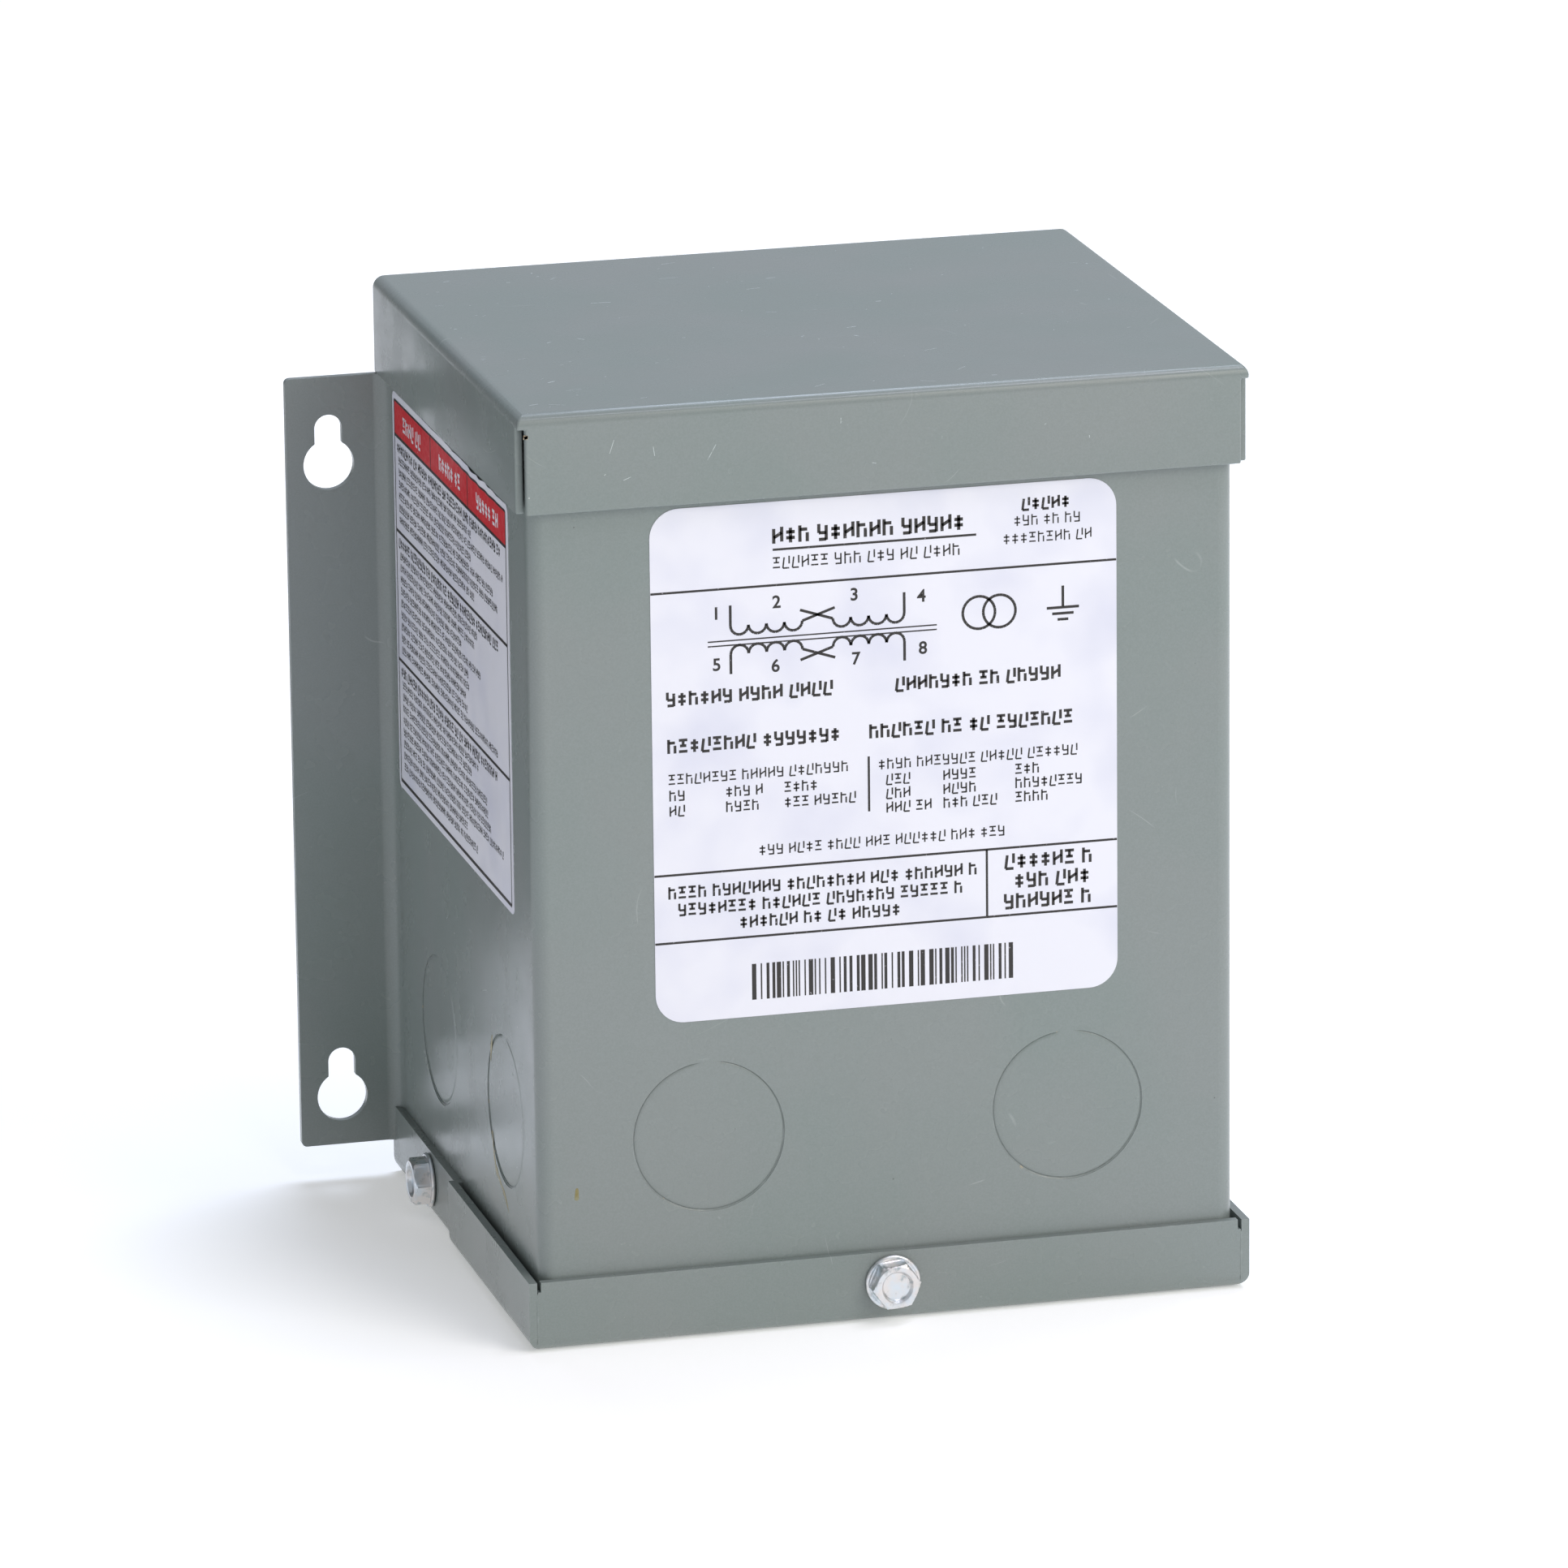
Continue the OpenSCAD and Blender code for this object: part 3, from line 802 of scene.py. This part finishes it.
def rounded_grid(width: float, height: float, radius: float, rows: int = 60, columns: int = 56) -> tuple[Array, Array]:
    """A grid that fills a rectangle with round corners, from its lower left corner.

    Heights are spaced closely near both ends. At each height the row's half width is the full half width less the
    corner's inset, radius minus the root of radius squared minus the distance into the corner squared.

    Args:
        width: Full width in millimetres.
        height: Full height.
        radius: Corner radius.
        rows: Points up.
        columns: Points across.

    Returns:
        Widths from the middle and heights from the lower edge.
    """
    bow = radius * (1 - np.cos(np.linspace(0, math.pi / 2, 12)))
    middle = np.linspace(radius, height - radius, rows - 22)
    y = np.concatenate([bow[:-1], middle, height - bow[::-1][1:]])
    into = np.clip(radius - np.minimum(y, height - y), 0, radius)
    half = width / 2 - radius + np.sqrt(radius**2 - into**2)
    share = np.sin(np.linspace(-math.pi / 2, math.pi / 2, columns))
    return half[:, None] * share[None, :], np.repeat(y[:, None], columns, 1)


def surface_normal(surface: Surface, at: tuple[float, float]) -> Array:
    """Outward direction of a surface near a point, from the cross product of its two directions."""
    x, y = np.array([at[0], at[0] + 1, at[0]]), np.array([at[1], at[1], at[1] + 1])
    o, a, b = surface(x, y)
    n = np.cross(a - o, b - o)
    return n / np.linalg.norm(n)


@dataclass(frozen=True)
class RatingPlate:
    """The printed plate on the front: white film, rules, a winding diagram, a table, rows of marks and bars.

    Heights are measured from the plate's lower edge, and widths from its middle, in millimetres.
    """

    node: str = "rating_plate"
    corner: float = 5.3
    thick: float = 0.12
    ink_over: float = 0.012
    rule: float = 0.42
    rules: tuple[float, ...] = (79.5, 27.5, 14.9)
    box_divider: float = 18.6
    table_divider: float = -3.2
    coil_pitch: float = 3.3

    def surface(self, lift: float) -> Surface:
        """The film's face, raised by lift: flat with three shallow bubbles, each a Gaussian bump."""
        left, foot = self.left_foot()

        def face(x: Array, y: Array) -> Array:
            bubble = np.zeros_like(x)
            for bx, by, size, rise in ((37.0, 62.0, 5.0, 0.05), (-30.0, 56.0, 6.0, 0.04), (12.0, 6.0, 7.0, 0.03)):
                bubble = bubble + rise * np.exp(-((x - bx) ** 2 + (y - by) ** 2) / size**2)
            return Side.FRONT.place(x + left, y + foot, np.full_like(x, self.front_wall() + lift) + bubble)

        return face

    def front_wall(self) -> float:
        """Distance of the front wall from the middle plane."""
        return Side.FRONT.out_of(self.node)[0]

    def left_foot(self) -> tuple[float, float]:
        """The plate's middle across and its lower edge."""
        low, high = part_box(self.node)
        return (low.x + high.x) / 2 / MM, low.z / MM

    def size(self) -> tuple[float, float]:
        """The plate's width and height."""
        low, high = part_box(self.node)
        return (high.x - low.x) / MM, (high.z - low.z) / MM

    def windings(self) -> list[Stroke]:
        """The winding diagram: two coils each side of a two-line core, with crossed middle leads."""
        line, strokes = 0.5, []
        for base, turn, stub in ((72.6, -1, 76.4), (67.4, 1, 63.8)):
            for start in (-28.4, -9.6):
                for k in range(4):
                    x = start + self.coil_pitch * (k + 0.5)
                    angles = (180, 360) if turn < 0 else (180, 0)
                    strokes += arc_strokes(x, base, self.coil_pitch / 2, *angles, line, 8)
            for x in (-28.4, -9.6 + 4 * self.coil_pitch):
                strokes.append(Stroke(x, base, x, stub, line))
            inner_left, inner_right = -28.4 + 4 * self.coil_pitch, -9.6
            high, low = base + 2.0, base - 0.2
            if turn > 0:
                high, low = base + 0.2, base - 2.0
            strokes.append(Stroke(inner_left, base, inner_right + 0.4, high if turn < 0 else low, line))
            strokes.append(Stroke(inner_right, base, inner_left - 0.4, high if turn < 0 else low, line))
        for y in (69.1, 69.95):
            strokes.append(Stroke(-32.6, y, 9.6, y, 0.26))
        return strokes

    def symbol(self) -> list[Stroke]:
        """Two overlapping rings, the plain drawing sign for two coupled coils, and an earth sign."""
        strokes = arc_strokes(17.4, 71.6, 3.0, 0, 360, 0.5, 28) + arc_strokes(21.2, 71.6, 3.0, 0, 360, 0.5, 28)
        strokes.append(Stroke(33.0, 75.4, 33.0, 71.4, 0.5))
        strokes += [Stroke(33.0 - w, y, 33.0 + w, y, 0.5) for w, y in ((3.0, 71.4), (2.0, 70.3), (1.0, 69.2))]
        return strokes

    def rows(self) -> list[Stroke]:
        """Every row of marks, in its place on the plate."""
        layout = (
            (-20.5, 16.5, 88.6, 3.0, 0.2), (-20.5, 16.5, 83.6, 2.2, 0.13),
            (25.5, 35.5, 91.0, 2.3, 0.2), (24.0, 37.5, 88.0, 2.0, 0.13), (22.0, 38.5, 84.8, 2.0, 0.13),
            (-40.3, -9.7, 60.0, 2.6, 0.2), (1.9, 34.1, 59.6, 2.6, 0.2),
            (-40.2, -7.0, 51.3, 2.6, 0.2), (-3.0, 35.4, 51.2, 2.6, 0.2),
            (-40.1, -6.4, 45.2, 2.0, 0.14), (-1.4, 36.4, 45.0, 2.0, 0.14),
            (-40.0, -35.6, 42.2, 2.0, 0.15), (-29.6, -22.4, 42.2, 2.0, 0.15), (-18.8, -12.0, 42.2, 2.0, 0.15),
            (-40.0, -35.6, 39.4, 2.0, 0.15), (-29.6, -22.4, 39.4, 2.0, 0.15), (-18.8, -4.8, 39.4, 2.0, 0.15),
            (0.0, 4.8, 42.1, 2.0, 0.15), (10.6, 17.8, 42.1, 2.0, 0.15), (24.0, 30.4, 42.1, 2.0, 0.15),
            (0.0, 4.8, 39.5, 2.0, 0.15), (10.6, 17.8, 39.5, 2.0, 0.15), (24.0, 37.4, 39.5, 2.0, 0.15),
            (0.0, 9.4, 36.9, 2.0, 0.15), (10.6, 21.8, 36.9, 2.0, 0.15), (24.0, 30.4, 36.9, 2.0, 0.15),
            (-23.6, 23.4, 30.9, 2.0, 0.14),
            (-40.4, 17.2, 24.2, 2.3, 0.18), (-38.6, 15.6, 21.0, 2.3, 0.18), (-27.3, 4.8, 17.8, 2.3, 0.18),
            (22.0, 40.2, 25.0, 2.8, 0.19), (23.8, 38.4, 21.3, 2.8, 0.19), (21.8, 40.2, 17.5, 2.8, 0.19),
        )
        strokes: list[Stroke] = []
        for seed, (x0, x1, y, height, bold) in enumerate(layout):
            strokes += mark_row(x0, x1, y, height, seed + 11, bold)
        return strokes

    def lines(self) -> list[Stroke]:
        """The rules across the plate and the two dividers."""
        half = self.size()[0] / 2 - 0.05
        strokes = [Stroke(-half, y, half, y, self.rule) for y in self.rules]
        strokes.append(Stroke(self.box_divider, self.rules[1], self.box_divider, self.rules[2], self.rule))
        strokes.append(Stroke(self.table_divider, 46.6, self.table_divider, 36.4, self.rule))
        strokes.append(Stroke(-20.5, 86.0, 17.0, 86.0, self.rule))
        return strokes

    def bars(self) -> list[Stroke]:
        """A band of plain upright bars of seeded widths."""
        draw = np.random.default_rng(5)
        unit, x, strokes = 0.27, -25.2, []
        while x < 22.6:
            width = unit * int(draw.integers(1, 4))
            strokes.append(Stroke(x + width / 2, 3.1, x + width / 2, 9.8, width))
            x += width + unit * int(draw.integers(1, 4))
        return strokes

    def build(self) -> list[bpy.types.Object]:
        """Makes the film, the ink and the terminal numbers."""
        width, height = self.size()
        film = film_mesh("rating_plate_film", *rounded_grid(width, height, self.corner), self.surface(self.thick),
                         self.thick)
        over = self.surface(self.thick + self.ink_over)
        ink = ink_mesh("rating_plate_print",
                       self.windings() + self.symbol() + self.rows() + self.bars(), over)
        rules = ink_mesh("rating_plate_rules", self.lines(), over, 40)
        numbers = self.terminal_numbers()
        return [film, ink, rules, numbers]

    def terminal_numbers(self) -> bpy.types.Object:
        """Plain numbers at the ends of the windings, as flat text made a mesh."""
        left, foot = self.left_foot()
        out = self.front_wall() + self.thick + self.ink_over
        spots = (("1", -31.0, 75.0), ("2", -19.9, 76.3), ("3", -5.6, 76.6), ("4", 6.8, 75.4),
                 ("5", -31.0, 65.6), ("6", -20.2, 64.6), ("7", -5.4, 64.8), ("8", 7.0, 65.8))
        joined = bmesh.new()
        for digit, x, y in spots:
            curve = bpy.data.curves.new("digit", "FONT")
            curve.body = digit
            curve.size = 3.2 * MM
            curve.align_x, curve.align_y = "CENTER", "CENTER"
            curve.offset = 0.07 * MM
            holder = bpy.data.objects.new("digit", curve)
            bpy.context.scene.collection.objects.link(holder)
            mesh = bpy.data.meshes.new_from_object(holder.evaluated_get(bpy.context.evaluated_depsgraph_get()))
            upright = Matrix.Translation(((x + left) * MM, -out * MM, (y + foot) * MM))
            mesh.transform(upright @ Matrix.Rotation(math.pi / 2, 4, "X"))
            joined.from_mesh(mesh)
            bpy.data.objects.remove(holder)
            bpy.data.curves.remove(curve)
            bpy.data.meshes.remove(mesh)
        mesh = bpy.data.meshes.new("rating_plate_numbers")
        joined.to_mesh(mesh)
        joined.free()
        piece = bpy.data.objects.new("rating_plate_numbers", mesh)
        bpy.context.scene.collection.objects.link(piece)
        return piece

    def dress(self, pieces: list[bpy.types.Object]) -> None:
        """Gives the film its white and the print its ink."""
        finish_piece(pieces[0], PolyesterFilm(), (self.node,))
        for piece in pieces[1:]:
            finish_piece(piece, PrintedInk())


@dataclass(frozen=True)
class SideLabel:
    """The label on the left side: white film with a red band in three cells and three boxes of marks.

    Widths are measured from the label's rear end and heights from its lower edge, in millimetres.
    """

    node: str = "side_label"
    thick: float = 0.1
    ink_over: float = 0.012
    margin: float = 1.5
    line: float = 0.45
    band: float = 6.6
    boxes: tuple[float, ...] = (18.2, 24.8)
    row_pitch: float = 2.25

    def frame_of(self) -> tuple[float, float, float, float]:
        """Rear end across, lower edge, width and height."""
        low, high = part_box(self.node)
        return -high.y / MM, low.z / MM, (high.y - low.y) / MM, (high.z - low.z) / MM

    def surface(self, lift: float) -> Surface:
        """The film's face: flat, with a raised wrinkled upper edge towards the front.

        The lift is a product of a rise towards the upper edge, a bell along it, and a sine for the wrinkles.
        """
        rear, foot, width, height = self.frame_of()
        wall = -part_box(self.node)[1].x / MM

        def face(x: Array, y: Array) -> Array:
            near_top = np.clip((y - (height - 7.0)) / 7.0, 0, None) ** 2
            bell = np.exp(-(((x - 68.0) / 14.0) ** 2))
            wrinkle = near_top * bell * (0.28 + 0.16 * np.sin(x * 0.9))
            return Side.LEFT.place(x + rear, y + foot, np.full_like(x, wall + lift) + wrinkle)

        return face

    def grid(self) -> tuple[Array, Array]:
        """The film's grid: round corners, and an upper edge torn into low waves towards the front."""
        _, _, width, height = self.frame_of()
        x, y = rounded_grid(width, height, 1.6, 110, 130)
        x = x + width / 2
        torn = np.clip((x - 22.0) / 30.0, 0, 1) * np.clip((y - height + 4.0) / 4.0, 0, 1)
        return x, y + torn * (0.14 * np.sin(x * 0.35) + 0.07 * np.sin(x * 1.1 + 1.0) - 0.05)

    def dividers(self) -> tuple[float, ...]:
        """Heights of the lines under the band and between the boxes."""
        top = self.frame_of()[3] - self.margin - self.band
        return top, top - self.boxes[0], top - self.boxes[0] - self.boxes[1]

    def lines(self) -> list[Stroke]:
        """Outline, dividers and the two lines between the band's cells."""
        _, _, width, height = self.frame_of()
        m, top = self.margin, height - self.margin
        strokes = [Stroke(m, m, width - m, m, self.line * 1.5), Stroke(m, top, width - m, top, self.line),
                   Stroke(m, m, m, top, self.line), Stroke(width - m, m, width - m, top, self.line)]
        strokes += [Stroke(m, y, width - m, y, self.line * 1.3) for y in self.dividers()]
        third = (width - 2 * m) / 3
        strokes += [Stroke(m + third * k, self.dividers()[0], m + third * k, top, self.line) for k in (1, 2)]
        return strokes

    def rows(self) -> list[Stroke]:
        """Each box has a bolder first row and then rows of seeded length."""
        _, _, width, _ = self.frame_of()
        draw = np.random.default_rng(8)
        strokes: list[Stroke] = []
        ends = (*self.dividers(), self.margin)
        for box, (high, low) in enumerate(zip(ends[:-1], ends[1:])):
            y = high - 2.0
            strokes += mark_row(3.4, width - 5.0 - 3.0 * box, y, 1.9, 40 + box, 0.2)
            y -= self.row_pitch + 0.1
            row = 0
            while y > low + 1.2:
                length = float(draw.uniform(0.55, 1.0)) * (width - 8.0)
                strokes += mark_row(4.4, 4.4 + length, y, 1.45, 100 * box + row, 0.17)
                y -= self.row_pitch
                row += 1
        return strokes

    def band_marks(self) -> list[Stroke]:
        """Pale marks in each cell of the band."""
        _, _, width, height = self.frame_of()
        third = (width - 2 * self.margin) / 3
        y = height - self.margin - self.band / 2
        strokes: list[Stroke] = []
        for k in range(3):
            x = self.margin + third * k
            strokes += mark_row(x + 7.0, x + third - 5.0, y, 2.9, 60 + k, 0.2)
        return strokes

    def build(self) -> list[bpy.types.Object]:
        """Makes the film, the band, the black print and the pale marks."""
        _, _, width, height = self.frame_of()
        film = film_mesh("side_label_film", *self.grid(), self.surface(self.thick), self.thick)
        band_y = height - self.margin - self.band / 2
        slices = np.linspace(-0.5, 0.5, 13)[:-1] + 1 / 24
        band = ink_mesh("side_label_band",
                        [Stroke(self.margin, band_y + self.band * v, width - self.margin, band_y + self.band * v,
                                self.band / 12) for v in slices], self.surface(self.thick + self.ink_over), 120)
        over = self.surface(self.thick + self.ink_over * 2)
        lines = ink_mesh("side_label_rules", self.lines(), over, 120)
        marks = ink_mesh("side_label_print", self.rows(), over)
        pale = ink_mesh("side_label_band_marks", self.band_marks(), over)
        return [film, band, lines, marks, pale]

    def dress(self, pieces: list[bpy.types.Object]) -> None:
        """Gives film and print their finishes."""
        film, band, lines, marks, pale = pieces
        black = PrintedInk()
        red = PrintedInk("red_flexo_ink", "#CE1F2B", "#E4B9BA", 0.7)
        white = PrintedInk("bare_film_marks", "#E6E4EA", "#D9A9AC", 0.64)
        finish_piece(film, PolyesterFilm(), (self.node,))
        for piece, coat in ((band, red), (lines, black), (marks, black), (pale, white)):
            finish_piece(piece, coat)


@dataclass(frozen=True)
class VarnishRuns:
    """Runs of cured varnish at the lower left of the case."""

    wide: float = 0.75
    high: float = 0.1

    def run(self, name: str, side: Side, path: tuple[tuple[float, float], ...], wall: float,
            seed: int) -> bpy.types.Object:
        """One run: a low half-round profile carried along a smooth path.

        The width swells and narrows as a sum of sines along the path and closes at both ends, and the height
        follows the width.

        Args:
            name: The piece's name.
            side: The wall it clings to.
            path: Points across and up, in millimetres.
            wall: The wall's distance from the middle plane.
            seed: Shifts the swellings.

        Returns:
            The run.
        """
        knots = np.array(path)
        at = np.linspace(0, 1, len(knots))
        t = np.linspace(0, 1, 90)
        x, y = np.interp(t, at, knots[:, 0]), np.interp(t, at, knots[:, 1])
        smooth = np.ones(9) / 9
        x = np.convolve(np.pad(x, 4, "edge"), smooth, "valid")
        y = np.convolve(np.pad(y, 4, "edge"), smooth, "valid")
        way = np.concatenate([[0], np.cumsum(np.hypot(np.diff(x), np.diff(y)))])
        swell = 0.8 + 0.2 * np.sin(0.8 * way + seed) + 0.1 * np.sin(2.1 * way + 2 * seed)
        half = self.wide * np.clip(swell, 0.08, None) * np.sqrt(np.clip(np.sin(np.pi * t), 0, None))
        dx, dy = np.gradient(x), np.gradient(y)
        length = np.hypot(dx, dy)
        bow = np.linspace(0, math.pi, 9)
        side_way = half[:, None] * np.cos(bow)
        px = x[:, None] - dy[:, None] / length[:, None] * side_way
        py = y[:, None] + dx[:, None] / length[:, None] * side_way
        out = wall + self.high * (half / self.wide)[:, None] * np.sin(bow) - 0.005
        points = side.place(px, py, out)
        piece = mesh_piece(name, points, grid_faces(len(t), len(bow)), 80.0)
        return piece

    def build(self) -> list[bpy.types.Object]:
        """Makes the runs on the left side and the drop on the front."""
        left_wall = -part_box("side_label")[1].x / MM
        front_wall = RatingPlate().front_wall()
        return [
            self.run("varnish_run_upper", Side.LEFT, ((21.4, 49.2), (20.2, 46.0), (19.8, 43.6)), left_wall, 1),
            self.run("varnish_run_lower", Side.LEFT,
                     ((20.1, 31.0), (20.6, 27.4), (22.4, 24.1), (27.0, 22.0), (30.0, 20.6), (32.6, 18.3)),
                     left_wall, 2),
            self.run("varnish_drop_front", Side.FRONT, ((-58.0, 30.0), (-58.1, 28.2), (-58.1, 27.6)), front_wall, 4),
        ]

    def dress(self, pieces: list[bpy.types.Object]) -> None:
        """Gives each run its amber."""
        for piece in pieces:
            finish_piece(piece, VarnishRun())


@dataclass(frozen=True)
class Scuffs:
    """Short pale scratches and chips in the enamel, thickest on the hood's top near its left and front edges."""

    top_count: int = 90
    wall_count: int = 10

    def top_marks(self) -> list[Stroke]:
        """Seeded strokes on the hood's top: short, mostly along the case, more of them towards the left."""
        draw = np.random.default_rng(21)
        low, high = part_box("top_hood")
        width, depth = (high.x - low.x) / MM - 8, (high.y - low.y) / MM - 8
        x = low.x / MM + 4 + width * draw.random(self.top_count) ** 1.7
        y = low.y / MM + 4 + depth * draw.random(self.top_count)
        length = 0.35 + 3.4 * draw.random(self.top_count) ** 4
        turn = draw.normal(0.1, 0.5, self.top_count)
        width_of = 0.07 + 0.16 * draw.random(self.top_count) ** 2
        return [Stroke(*row) for row in np.stack(
            [x, y, x + length * np.cos(turn), y + length * np.sin(turn), width_of], 1)]

    def wall_marks(self, low: tuple[float, float], high: tuple[float, float], seed: int) -> list[Stroke]:
        """A few seeded strokes on a wall between two corners."""
        draw = np.random.default_rng(seed)
        x = low[0] + (high[0] - low[0]) * draw.random(self.wall_count)
        y = low[1] + (high[1] - low[1]) * draw.random(self.wall_count)
        length = 0.4 + 3.0 * draw.random(self.wall_count) ** 3
        turn = draw.normal(1.2, 0.5, self.wall_count)
        return [Stroke(*row) for row in np.stack(
            [x, y, x + length * np.cos(turn), y + length * np.sin(turn), np.full(self.wall_count, 0.1)], 1)]

    def build(self) -> list[bpy.types.Object]:
        """Makes the scratches on the top, the hood's front and the left wall, and one chip down to the primer."""
        low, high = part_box("top_hood")
        proud = 0.004
        hood_front = -low.y / MM + proud

        def top(x: Array, y: Array) -> Array:
            return np.stack([x, y, np.full_like(x, high.z / MM + proud)], -1) * MM

        def skirt(x: Array, y: Array) -> Array:
            return Side.FRONT.place(x, y, np.full_like(x, hood_front))

        def left_wall(x: Array, y: Array) -> Array:
            return Side.LEFT.place(x, y, np.full_like(x, -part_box("side_label")[1].x / MM + proud))

        marks = self.wall_marks((low.x / MM + 5, low.z / MM + 2), (high.x / MM - 5, high.z / MM - 5), 3)
        side = self.wall_marks((-40, 55), (50, 150), 9) + self.wall_marks((5, 20), (50, 60), 14)
        chip_x, chip_y = low.x / MM + 1.5, high.z / MM - 4.0
        chip = [Stroke(chip_x, chip_y - 0.35, chip_x + 0.1, chip_y + 0.4, 0.8),
                Stroke(chip_x - 0.2, chip_y - 0.1, chip_x + 0.5, chip_y + 0.1, 0.55)]
        return [ink_mesh("hood_top_scuffs", self.top_marks(), top), ink_mesh("hood_skirt_scuffs", marks, skirt),
                ink_mesh("left_wall_scuffs", side, left_wall), ink_mesh("hood_corner_chip", chip, skirt)]

    def dress(self, pieces: list[bpy.types.Object]) -> None:
        """Bruised enamel for the scratches, primer for the chip."""
        bruised = PrintedInk("bruised_enamel", "#C0C8C8", "#9AA4A2", 0.55)
        primer = PrintedInk("iron_oxide_primer", "#A89A82", "#8A7A62", 0.5)
        for piece in pieces:
            finish_piece(piece, primer if "chip" in piece.name else bruised)


@dataclass(frozen=True)
class PottedWinding:
    """The block of potting compound inside the case."""

    node: str = "potted_winding"
    edge: float = 1.2

    def build(self) -> bpy.types.Object:
        """Makes the block with the rounding of its mould."""
        return rounded_copy(self.node, "potting_block", self.edge, True)

    def dress(self, piece: bpy.types.Object) -> None:
        """Gives it the sand-filled resin."""
        finish_piece(piece, PottingCompound(), (self.node,))


@dataclass(frozen=True)
class Studio:
    """Pale floor, soft lights and the camera. Angles are in degrees and lengths in metres."""

    aim: tuple[float, float, float] = (-0.0042, 0.0, 0.0858)
    azimuth: float = -14.54
    elevation: float = 15.53
    roll: float = -0.625
    distance: float = 2.0877
    lens: float = 260.8
    floor_half: float = 6.0
    ambient: float = 0.4

    def camera(self) -> None:
        """A long lens turned about the aim point, slightly rolled."""
        a, e = math.radians(self.azimuth), math.radians(self.elevation)
        back = Vector((math.sin(a) * math.cos(e), -math.cos(a) * math.cos(e), math.sin(e)))
        data = bpy.data.cameras.new("camera")
        data.lens = self.lens
        data.sensor_width = 36.0
        data.clip_start, data.clip_end = 0.05, 40.0
        eye = bpy.data.objects.new("camera", data)
        turn = (-back).to_track_quat("-Z", "Y").to_matrix() @ Matrix.Rotation(math.radians(self.roll), 3, "Z")
        eye.matrix_world = Matrix.Translation(Vector(self.aim) + back * self.distance) @ turn.to_4x4()
        bpy.context.scene.collection.objects.link(eye)
        bpy.context.scene.camera = eye

    def lamp(self, name: str, place: tuple[float, float, float], size: tuple[float, float], watts: float,
             colour: str) -> None:
        """One soft rectangular lamp that faces the object.

        Args:
            name: The lamp's name.
            place: Where it hangs.
            size: Its width and height.
            watts: Its power.
            colour: Its colour as sRGB hex.
        """
        data = bpy.data.lights.new(name, "AREA")
        data.shape = "RECTANGLE"
        data.size, data.size_y = size
        data.energy = watts
        data.color = linear(colour)[:3]
        lamp = bpy.data.objects.new(name, data)
        lamp.location = place
        lamp.rotation_mode = "QUATERNION"
        lamp.rotation_quaternion = (Vector(self.aim) - Vector(place)).to_track_quat("-Z", "Y")
        bpy.context.scene.collection.objects.link(lamp)

    def flag(self) -> None:
        """A black velvet flag at the left rear, outside the frame, that keeps the left wall's sheen down."""
        card = np.array(((-0.118, 0.2, 0.0), (-0.6, 0.2, 0.0), (-0.6, 0.2, 0.32), (-0.118, 0.2, 0.32)))
        mesh = bpy.data.meshes.new("studio_flag")
        mesh.from_pydata(card.tolist(), [], [(0, 1, 2, 3)])
        mesh.materials.append(PrintedInk("black_velvet", "#3A3E3E", "#303434", 0.9).material())
        flag = bpy.data.objects.new("studio_flag", mesh)
        flag.visible_camera = False
        bpy.context.scene.collection.objects.link(flag)

    def build(self) -> None:
        """Makes floor, sky, lamps, flag and camera."""
        s = self.floor_half
        points = np.array(((-s, -s, -0.0001), (s, -s, -0.0001), (s, s, -0.0001), (-s, s, -0.0001)))
        mesh = bpy.data.meshes.new("studio_floor")
        mesh.from_pydata(points.tolist(), [], [(0, 1, 2, 3)])
        mesh.materials.append(StudioFloor().material())
        floor = bpy.data.objects.new("studio_floor", mesh)
        bpy.context.scene.collection.objects.link(floor)
        world = bpy.data.worlds.new("studio_sky")
        world.use_nodes = True
        world.node_tree.nodes.clear()
        sky = add_node(world.node_tree, "ShaderNodeBackground",
                       inputs={"Color": linear("#F7F9FC"), "Strength": self.ambient})
        add_node(world.node_tree, "ShaderNodeOutputWorld", inputs={"Surface": sky.outputs[0]})
        bpy.context.scene.world = world
        bpy.context.scene.view_settings.view_transform = "Standard"
        self.lamp("key_front_right", (0.95, -1.4, 1.05), (1.0, 1.0), 13.8, "#FFFBF2")
        self.lamp("top_panel", (0.33, 0.6, 1.5), (1.0, 0.7), 14.0, "#DDE9FF")
        self.lamp("bend_strip", (0.36, -0.4, 1.4), (1.2, 0.07), 5.0, "#F0EEFF")
        self.flag()
        self.camera()


def main() -> None:
    """Builds and dresses every sub-assembly in turn."""
    logging.basicConfig(level=logging.INFO, format="%(name)s: %(message)s")
    Studio().build()
    case = Case()
    case.dress(case.build())
    blanks = [Knockout(f"{wall}_{where}_knockout", side)
              for wall, side, places in (("front", Side.FRONT, ("left", "right")),
                                         ("left", Side.LEFT, ("front", "rear")),
                                         ("right", Side.RIGHT, ("front", "rear")))
              for where in places]
    screws = [WasherScrew(f"{side.name.lower()}_cover_screw", side, turned_deg=6.0 if side is Side.FRONT else 0.0)
              for side in Side]
    for part in (*blanks, *screws, RatingPlate(), SideLabel(), VarnishRuns(), Scuffs(), PottedWinding()):
        part.dress(part.build())


if __name__ == "__main__":
    main()
